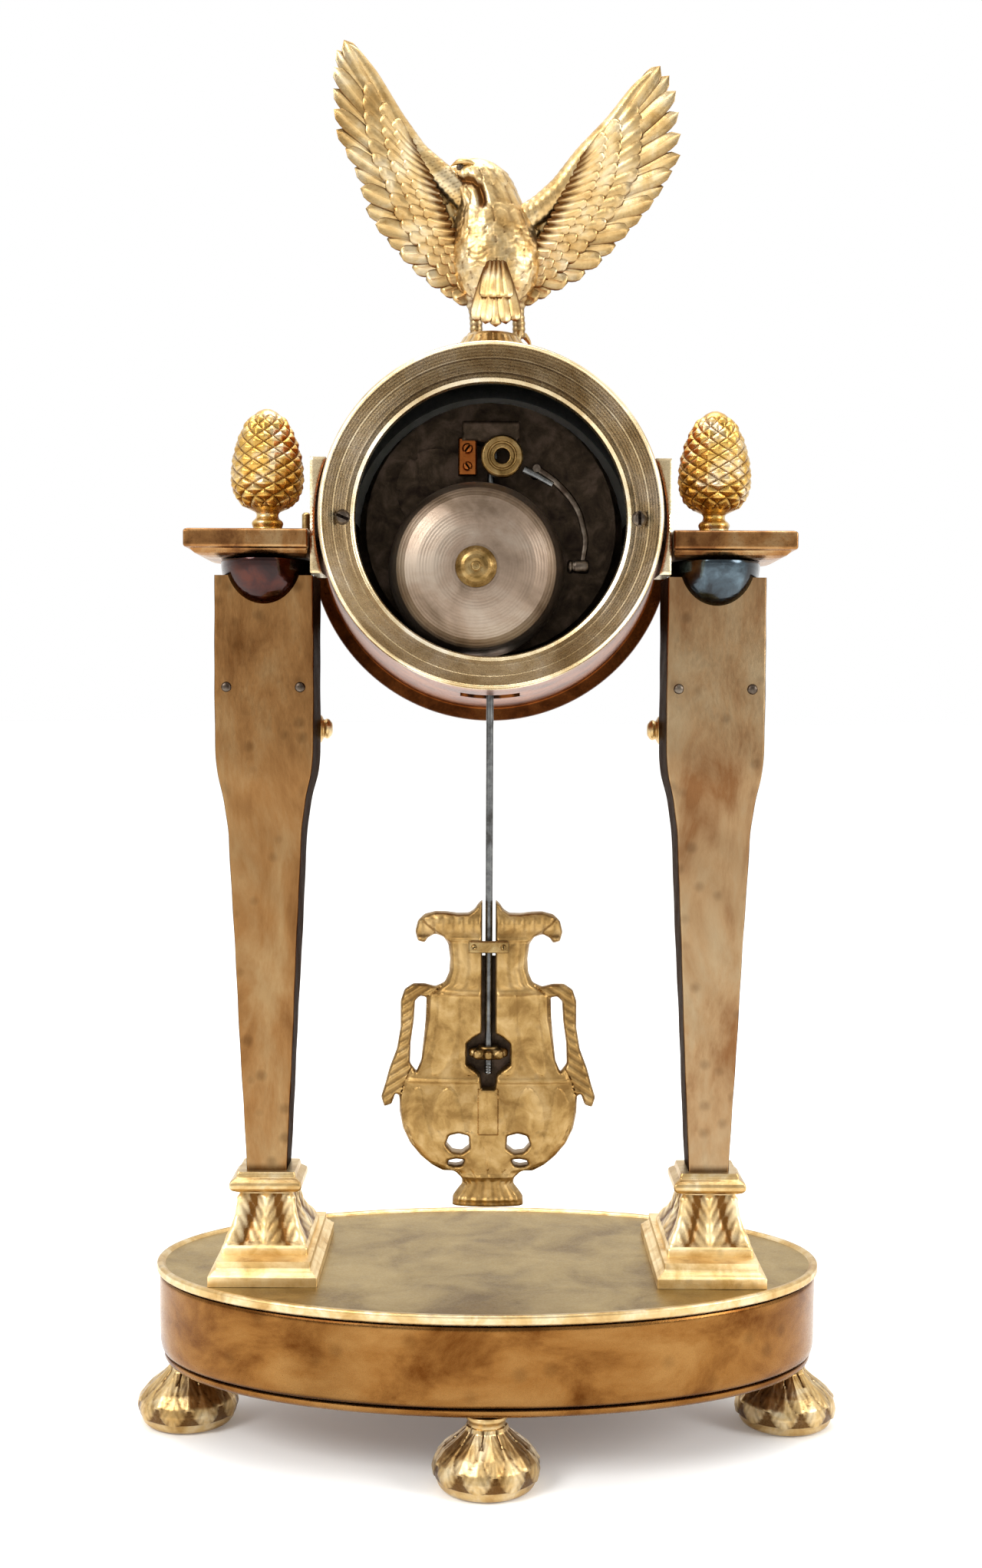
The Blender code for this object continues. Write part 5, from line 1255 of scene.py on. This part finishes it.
def buildWing(name, node, tips, roots, leading, side):
    # primaries and secondaries fan from the root line to the tips; shorter rows overlap them on both faces
    tips, roots = np.asarray(tips, float), np.asarray(roots, float)
    parts = []
    count = len(tips)
    start = alongLine(roots, np.linspace(0.0, 1.0, count))
    for i, (tip, root) in enumerate(zip(tips, start)):
        parts.append(feather(root, tip, 3.1 if i > 6 else 2.9, 0.5 * (i % 2), 1.0, bend=-side * 1.2,
                             thick=0.8))
    layers = [(0.66, 0.06, 3.0, 1.3, count), (0.46, 0.02, 2.7, 2.1, count + 1),
              (0.30, 0.0, 2.3, 2.8, count + 1)]
    for reach, begin, width, rise, number in layers:
        shares = (np.arange(number) + 0.5) / number
        ends = alongLine(tips, shares)
        starts = alongLine(roots, shares)
        for face in (-1.0, 1.0):
            for end, nearEnd in zip(ends, starts):
                a = nearEnd + (end - nearEnd) * begin
                b = nearEnd + (end - nearEnd) * reach
                parts.append(feather(a, b, width, rise, face, bend=-side * 0.6))
    line = evenLine(np.array([(x, 0.0, z) for x, z in leading]), 0.6, 1.5)
    line[:, 1] = wingDepth(line[:, 0])
    share = np.linspace(0.0, 1.0, len(line))
    blunt = (2 * np.clip(share, 0.93, 1) - 1.86) ** 2 / 0.0197
    size = (3.6 * (1 - share) ** 0.7 + 0.9) * np.sqrt(np.clip(1 - blunt, 0, 1))

    def scales(turn, along):
        a = (turn * 5 / math.tau + along * 26) % 1.0
        b = (-turn * 5 / math.tau + along * 26) % 1.0
        bulge = np.clip(1 - np.maximum(np.abs(a - 0.5), np.abs(b - 0.5)) * 2, 0, 1)
        return 0.35 * np.sqrt(bulge) * (1 - along), np.clip(0.2 + 0.9 * np.sqrt(bulge) + 0.6 * along, 0, 1)

    parts.append(carried(line, np.maximum(size, 0.25), 40, 0.85, reliefAndShade=scales))
    return makePiece(name, parts, metals["castGilding"], "case", [node], smooth=50)


leftTips = [(-46.2, 438.7), (-48.4, 435.6), (-49.4, 430.2), (-49.5, 423.8), (-49.3, 417.4), (-48.6, 411.4),
            (-45.8, 405.8), (-43.0, 400.2), (-41.2, 394.0), (-39.6, 388.0), (-36.6, 383.2), (-33.0, 379.0),
            (-29.2, 374.6), (-25.2, 370.6), (-20.8, 366.8), (-16.2, 363.6), (-12.2, 361.0)]
leftRoots = [(-24.0, 407.0), (-20.0, 400.0), (-16.5, 393.0), (-13.5, 386.0), (-10.5, 379.5), (-7.0, 373.5),
             (-3.0, 368.0)]
leftEdge = [(-6.0, 390.0), (-11.0, 395.0), (-17.0, 400.0), (-23.6, 405.6), (-30.6, 416.0), (-37.6, 428.6),
            (-43.0, 435.8), (-45.6, 437.6)]
rightTips = [(51.8, 431.0), (54.6, 428.0), (56.6, 423.0), (57.6, 416.6), (58.2, 409.8), (58.2, 403.6),
             (55.8, 398.8), (53.2, 394.4), (50.3, 390.2), (46.8, 386.0), (43.0, 381.8), (38.8, 377.2),
             (34.6, 372.8), (29.4, 369.0), (23.9, 366.2), (18.6, 363.4), (14.4, 361.0)]
rightRoots = [(28.0, 404.0), (24.5, 398.0), (21.0, 392.0), (18.0, 386.0), (14.5, 380.0), (10.5, 374.0),
              (6.0, 368.0)]
rightEdge = [(6.0, 384.0), (10.6, 386.6), (15.4, 389.6), (21.8, 395.6), (28.6, 405.0), (37.6, 414.8),
             (44.6, 424.6), (50.6, 430.0)]
buildWing("leftWing", "eagle_wing_left", leftTips, leftRoots, leftEdge, -1.0)
buildWing("rightWing", "eagle_wing_right", rightTips, rightRoots, rightEdge, 1.0)


def ovals(levels, steps, soften, reliefAndShade):
    # ovals of (x, y, z, half across, half deep) stacked up a bent middle line
    levels = evenLine(levels, 0.45, soften)
    turn = np.linspace(0.0, math.tau, steps, endpoint=False)[None, :]
    x, y, z, across, deep = [levels[:, k:k + 1] for k in range(5)]
    lift, tone = reliefAndShade(x + across * np.cos(turn), y + deep * np.sin(turn), z + 0 * turn, turn)
    px = x + (across + lift) * np.cos(turn)
    py = y + (deep + lift) * np.sin(turn)
    return capped(np.stack([px, py, z + 0 * turn], axis=-1), np.broadcast_to(tone, px.shape).copy())


jaw = np.array([(-12.4, 397.6), (-9.6, 397.0), (-6.4, 396.4), (-4.2, 394.4), (-3.2, 391.2), (-3.0, 389.0)])


def nearLine(x, z, line):
    best = np.full(x.shape, 1e9)
    for (ax, az), (bx, bz) in zip(line[:-1], line[1:]):
        dx, dz = bx - ax, bz - az
        share = np.clip(((x - ax) * dx + (z - az) * dz) / (dx * dx + dz * dz), 0, 1)
        best = np.minimum(best, np.hypot(x - ax - share * dx, z - az - share * dz))
    return best


def plumage(x, y, z, turn):
    # overlapping feather tips, long on the neck and short on the breast, and a deep fold under the jaw with
    # painted shadow in it
    high = z - eagle["perch"]
    rowHeight = 3.4 + 1.2 * smoothStep(40.0, 50.0, high)
    row = high / rowHeight
    number = 14
    lift = np.zeros_like(x)
    tone = np.full_like(x, 0.1)
    for shift in (0.0, 1.0):
        level = np.floor(row + shift * 0.5) - shift * 0.5
        within = row - level
        stagger = 0.5 * (np.floor(row + shift * 0.5) % 2) + shift * 0.5
        across = ((turn * number / math.tau + stagger) % 1.0 - 0.5) * 2
        shape = np.sqrt(np.clip(1 - across ** 2, 0, 1))
        edge = 1 - shape * 0.55
        inside = within > edge - 0.30
        rib = np.exp(-(across / 0.14) ** 2)
        rise = np.where(inside, 0.25 + 0.45 * (1 - within) + 0.15 * rib, 0.0)
        lift = np.maximum(lift, rise)
        tone = np.maximum(tone, np.where(inside, 0.30 + 0.50 * shape * (1 - 0.4 * within) + 0.25 * rib, 0.1))
    head = smoothStep(56.0, 59.0, high)
    lift = lift * (1 - 0.75 * head)
    rear = smoothStep(1.0, -1.0, y - 2.0)
    # the fold is cut in and also painted dark as shadow
    foldWithShadow = np.exp(-(nearLine(x, z, jaw) / 1.3) ** 2) * rear
    return lift * 0.9 - 1.3 * foldWithShadow, np.clip(tone + 0.3 * head - 1.2 * foldWithShadow, 0, 1)


torso = [(1.6, 1.0, 357.8, 3.0, 3.0), (1.6, 1.0, 360.0, 7.4, 6.2), (1.6, 1.0, 364.0, 11.2, 8.8),
         (1.5, 1.1, 370.0, 13.6, 10.4), (1.2, 1.2, 377.0, 13.6, 10.6), (0.6, 1.6, 384.0, 12.2, 9.9),
         (-0.4, 2.2, 389.6, 10.2, 8.8), (-1.8, 2.6, 394.0, 9.6, 8.4), (-3.4, 2.8, 398.0, 9.6, 8.0),
         (-4.4, 2.8, 401.4, 8.2, 7.0), (-5.0, 2.8, 403.8, 5.6, 5.0), (-5.4, 2.8, 405.0, 2.4, 2.2)]
beakPath = evenLine([(-9.5, 2.2, 400.4), (-12.4, 1.8, 400.8), (-15.2, 1.5, 399.8), (-16.6, 1.4, 397.4),
                     (-16.8, 1.4, 394.6)], 0.3, 0.8)
beakShare = np.linspace(0.0, 1.0, len(beakPath))
lowerPath = evenLine([(-9.5, 2.2, 397.9), (-12.0, 1.8, 397.3), (-14.4, 1.5, 396.6)], 0.3, 0.3)
lowerShare = np.linspace(0.0, 1.0, len(lowerPath))
browPath = evenLine([(-13.0, -1.2, 402.0), (-10.6, -2.9, 402.9), (-7.4, -3.6, 402.8), (-4.8, -3.4, 401.4)],
                    0.3, 0.6)
browShare = np.linspace(0.0, 1.0, len(browPath))
bird = [ovals(torso, 176, 1.2, plumage),
        carried(beakPath, 2.7 * (1 - beakShare) ** 0.65 + 0.15, 28, 0.85),
        carried(lowerPath, 1.5 * (1 - lowerShare) ** 0.6 + 0.15, 20, 0.85),
        carried(browPath, 0.9 * np.sin(np.clip(browShare, 0.04, 0.96) * math.pi) + 0.1, 16)]
for x, z, reach in ((-5.4, 362.0, -4.9), (8.0, 362.0, 8.6)):
    leg = evenLine([(x * 0.8 + 0.6, 1.0, 366.0), (x, 1.6, 359.6), (reach, 2.0, 354.0), (reach, 2.2, 349.6)],
                   0.4, 0.8)
    share = np.linspace(0.0, 1.0, len(leg))
    thigh = 4.6 * (1 - smoothStep(0.0, 0.55, share)) + 1.9

    def legScalesAndShade(turn, along):
        # scale rings; the low tone, darker towards the feet, is painted shade on the legs
        rings = 0.5 + 0.5 * np.cos(along * 60)
        return 0.18 * rings, 0.25 + 0.45 * rings * (1 - 0.6 * along)

    bird.append(carried(leg, thigh, 32, 0.9, reliefAndShade=legScalesAndShade))
    for swing in (-0.7, 0.0, 0.7, math.pi):
        length = 5.2 if swing < 3 else 3.4
        dx, dy = math.sin(swing) * length, math.cos(swing) * length
        toe = evenLine([(reach, 2.2, 350.4), (reach + dx * 0.5, 2.2 + dy * 0.5, 350.9),
                        (reach + dx, 2.2 + dy, 349.2),
                        (reach + dx * 1.15, 2.2 + dy * 1.15, 347.9)], 0.3, 0.5)
        shareToe = np.linspace(0.0, 1.0, len(toe))
        bird.append(carried(toe, 1.15 * (1 - shareToe) ** 0.5 + 0.12, 16, across=(0.0, 0.02, 1.0)))
makePiece("eagleBody", bird, metals["castGilding"], "case", ["eagle_body"], smooth=50)
eye = [(0, -1.1), (0.6, -1.0), (1.0, -0.6), (1.15, 0.0), (1.0, 0.6), (0, 1.0)]
makePiece("eagleEye", [spun(evenLine(eye, 0.1, 0.05), 32, (-10.2, -2.4, 401.3), "y")], metals["darkSteel"],
          "case")

shoulders = [(-31.0, 408.0), (-22.0, 402.0), (-14.0, 397.4), (-7.0, 393.0), (2.0, 392.0), (7.4, 391.0),
             (11.7, 388.4),
             (17.0, 392.4), (24.0, 400.0), (31.0, 409.0), (33.0, 398.0), (27.0, 383.0), (17.0, 369.0),
             (8.0, 361.0),
             (-5.0, 361.0), (-15.0, 369.0), (-26.0, 385.0), (-31.0, 397.0)]


def shoulderSurface(x, z, distance):
    # short overlapping feathers: rows of rounded scales that fan out from the breast
    away = np.hypot(x - 1.5, z - 352.0)
    lean = np.arctan2(x - 1.5, z - 352.0)
    row = away / 4.2
    across = (lean * 13.0 + 0.5 * np.floor(row)) % 1.0 - 0.5
    blade = np.sqrt(np.clip(1.0 - (2 * across) ** 2, 0.0, 1.0))
    lift = 0.9 * blade * (0.35 + 0.65 * (row % 1.0))
    edge = 1.2 * (1.0 - smoothStep(0.0, 2.0, distance))
    return 1.6 + edge - lift, 5.2 - edge, np.clip(0.25 + 0.75 * blade * (0.4 + 0.6 * (row % 1.0)), 0, 1)


makePiece("shoulderFeathers", [castPlate(shoulders, [], 0.5, shoulderSurface, 0.4)], metals["castGilding"],
          "case")

tail = []
for i, lean in enumerate((-1.0, -0.5, 0.0, 0.5, 1.0)):
    tail.append(feather((1.2 + lean * 2.2, 370.0), (1.2 + lean * 6.4, 349.8 + abs(lean) * 1.6), 2.3,
                        0.4 * (i % 2), -1.0, depth=(-9.0, -13.4), thick=0.7))
for lean in (-0.7, -0.2, 0.3, 0.8):
    tail.append(feather((1.2 + lean * 2.4, 371.0), (1.2 + lean * 5.0, 358.6), 2.1, 1.3, -1.0,
                        depth=(-8.6, -11.6)))
makePiece("tailFan", tail, metals["castGilding"], "case", ["eagle_tail"], smooth=50)


def perchRelief(x, y, z, turn):
    # upright leaves round the edge of the mount
    rise = z - eagle["perch"]
    leaf = np.abs(np.cos(turn * 9)) ** 0.6
    shown = smoothStep(0.3, 0.9, rise) * smoothStep(5.4, 4.6, rise)
    return shown * 0.45 * leaf, np.clip(0.9 - shown * (0.75 - 0.85 * leaf), 0, 1)


mount = [(0.0, 0.0, 344.0, 11.0, 12.0), (0.0, 0.0, 345.4, 11.5, 12.5), (0.0, 0.0, 346.4, 10.4, 11.2),
         (0.0, 0.0, 347.8, 9.2, 9.9), (0.0, 0.0, 349.0, 8.6, 9.2), (0.0, 0.0, 349.8, 7.6, 8.2)]
makePiece("perchMount", [ovals(mount, 160, 0.3, perchRelief)], metals["castGilding"], "case", ["eagle_perch"])
print("eagle ready")


# floor, lights and camera

studio = {"floor": 30.0, "drop": 0.0002, "aim": (0.0, 0.0, 0.22)}


# matt white paper with a very faint tooth
paper = evenFinish("whitePaper", {"Roughness": 0.9, "Specular IOR Level": 0.2, "Emission Strength": 0.10,
                                  "Emission Color": toLinear("#ffffff")},
                   {"size": 4, "detail": 3.0, "stops": (0.0, 1.0), "colours": ("#f3f3f2", "#f8f8f7")})
floorMesh = bpy.data.meshes.new("studioFloor")
corners = [(x * studio["floor"], y * studio["floor"], -studio["drop"])
           for x, y in ((-1, -1), (1, -1), (1, 1), (-1, 1))]
floorMesh.from_pydata(corners, [], [(0, 1, 2, 3)])
floorMesh.materials.append(paper)
floor = bpy.data.objects.new("studioFloor", floorMesh)
bpy.context.scene.collection.objects.link(floor)

world = bpy.data.worlds.new("softStudio")
bpy.context.scene.world = world
world.use_nodes = True
tree = world.node_tree
tree.nodes.clear()
# a white sweep behind the clock, a bright ceiling and a dimmer room on the other side
place = addNode(tree, "ShaderNodeTexCoord")
axes = addNode(tree, "ShaderNodeSeparateXYZ", None, {"Vector": place.outputs["Generated"]})
depth = addNode(tree, "ShaderNodeMapRange", {"From Min": -0.95, "From Max": 0.1, "To Min": 0.50,
                                             "To Max": 1.05},
                {"Value": axes.outputs["Y"]})
raised = addNode(tree, "ShaderNodeMapRange", {"From Min": 0.15, "From Max": 0.8, "To Min": 0.0,
                                              "To Max": 0.45},
                 {"Value": axes.outputs["Z"]})
total = addNode(tree, "ShaderNodeMath", None, {0: depth.outputs[0], 1: raised.outputs[0]}, operation="ADD")
soft = addNode(tree, "ShaderNodeBackground", {"Color": (1.0, 0.99, 0.97, 1.0)},
               {"Strength": total.outputs[0]})
plain = addNode(tree, "ShaderNodeBackground", {"Color": (1.0, 1.0, 1.0, 1.0), "Strength": 1.0})
seen = addNode(tree, "ShaderNodeLightPath")
either = addNode(tree, "ShaderNodeMixShader", None, {0: seen.outputs["Is Camera Ray"], 1: soft.outputs[0],
                                                     2: plain.outputs[0]})
addNode(tree, "ShaderNodeOutputWorld", None, {"Surface": either.outputs[0]})

lamps = {"keyLeft": ((-0.75, -0.75, 0.85), 0.55, 9.0), "fillRight": ((0.9, -0.5, 0.55), 0.45, 5.0),
         "topSoft": ((0.0, 0.1, 1.15), 0.7, 7.0)}
for name, (place, size, power) in lamps.items():
    light = bpy.data.lights.new(name, "AREA")
    light.shape, light.size, light.energy = "DISK", size, power
    lamp = bpy.data.objects.new(name, light)
    bpy.context.scene.collection.objects.link(lamp)
    lamp.location = place
    lamp.rotation_euler = (Vector(studio["aim"]) - lamp.location).to_track_quat("-Z", "Y").to_euler()

view = {"place": (-0.0001, -0.5973, 0.2319), "yaw": 0.117, "pitch": -3.467, "roll": 0.274, "focal": 2430.3,
        "high": 2043, "right": 2.48, "down": 50.63}
camera = bpy.data.cameras.new("camera")
camera.sensor_fit = "AUTO"
camera.sensor_width = 36.0
camera.lens = view["focal"] / view["high"] * 36.0
camera.shift_x = -view["right"] / view["high"]
camera.shift_y = view["down"] / view["high"]
camera.clip_start = 0.01
camera.clip_end = 100.0
yaw, pitch, roll = (math.radians(view[k]) for k in ("yaw", "pitch", "roll"))
ahead = Vector((math.sin(yaw) * math.cos(pitch), math.cos(yaw) * math.cos(pitch), math.sin(pitch)))
right = Vector((math.cos(yaw), -math.sin(yaw), 0.0))
above = right.cross(ahead)
across = right * math.cos(roll) + above * math.sin(roll)
lifted = above * math.cos(roll) - right * math.sin(roll)
turned = Matrix((across, lifted, -ahead)).transposed().to_4x4()
eyeObject = bpy.data.objects.new("camera", camera)
bpy.context.scene.collection.objects.link(eyeObject)
eyeObject.matrix_world = Matrix.Translation(Vector(view["place"])) @ turned
bpy.context.scene.camera = eyeObject
bpy.context.scene.view_settings.view_transform = "Standard"
print("studio ready")
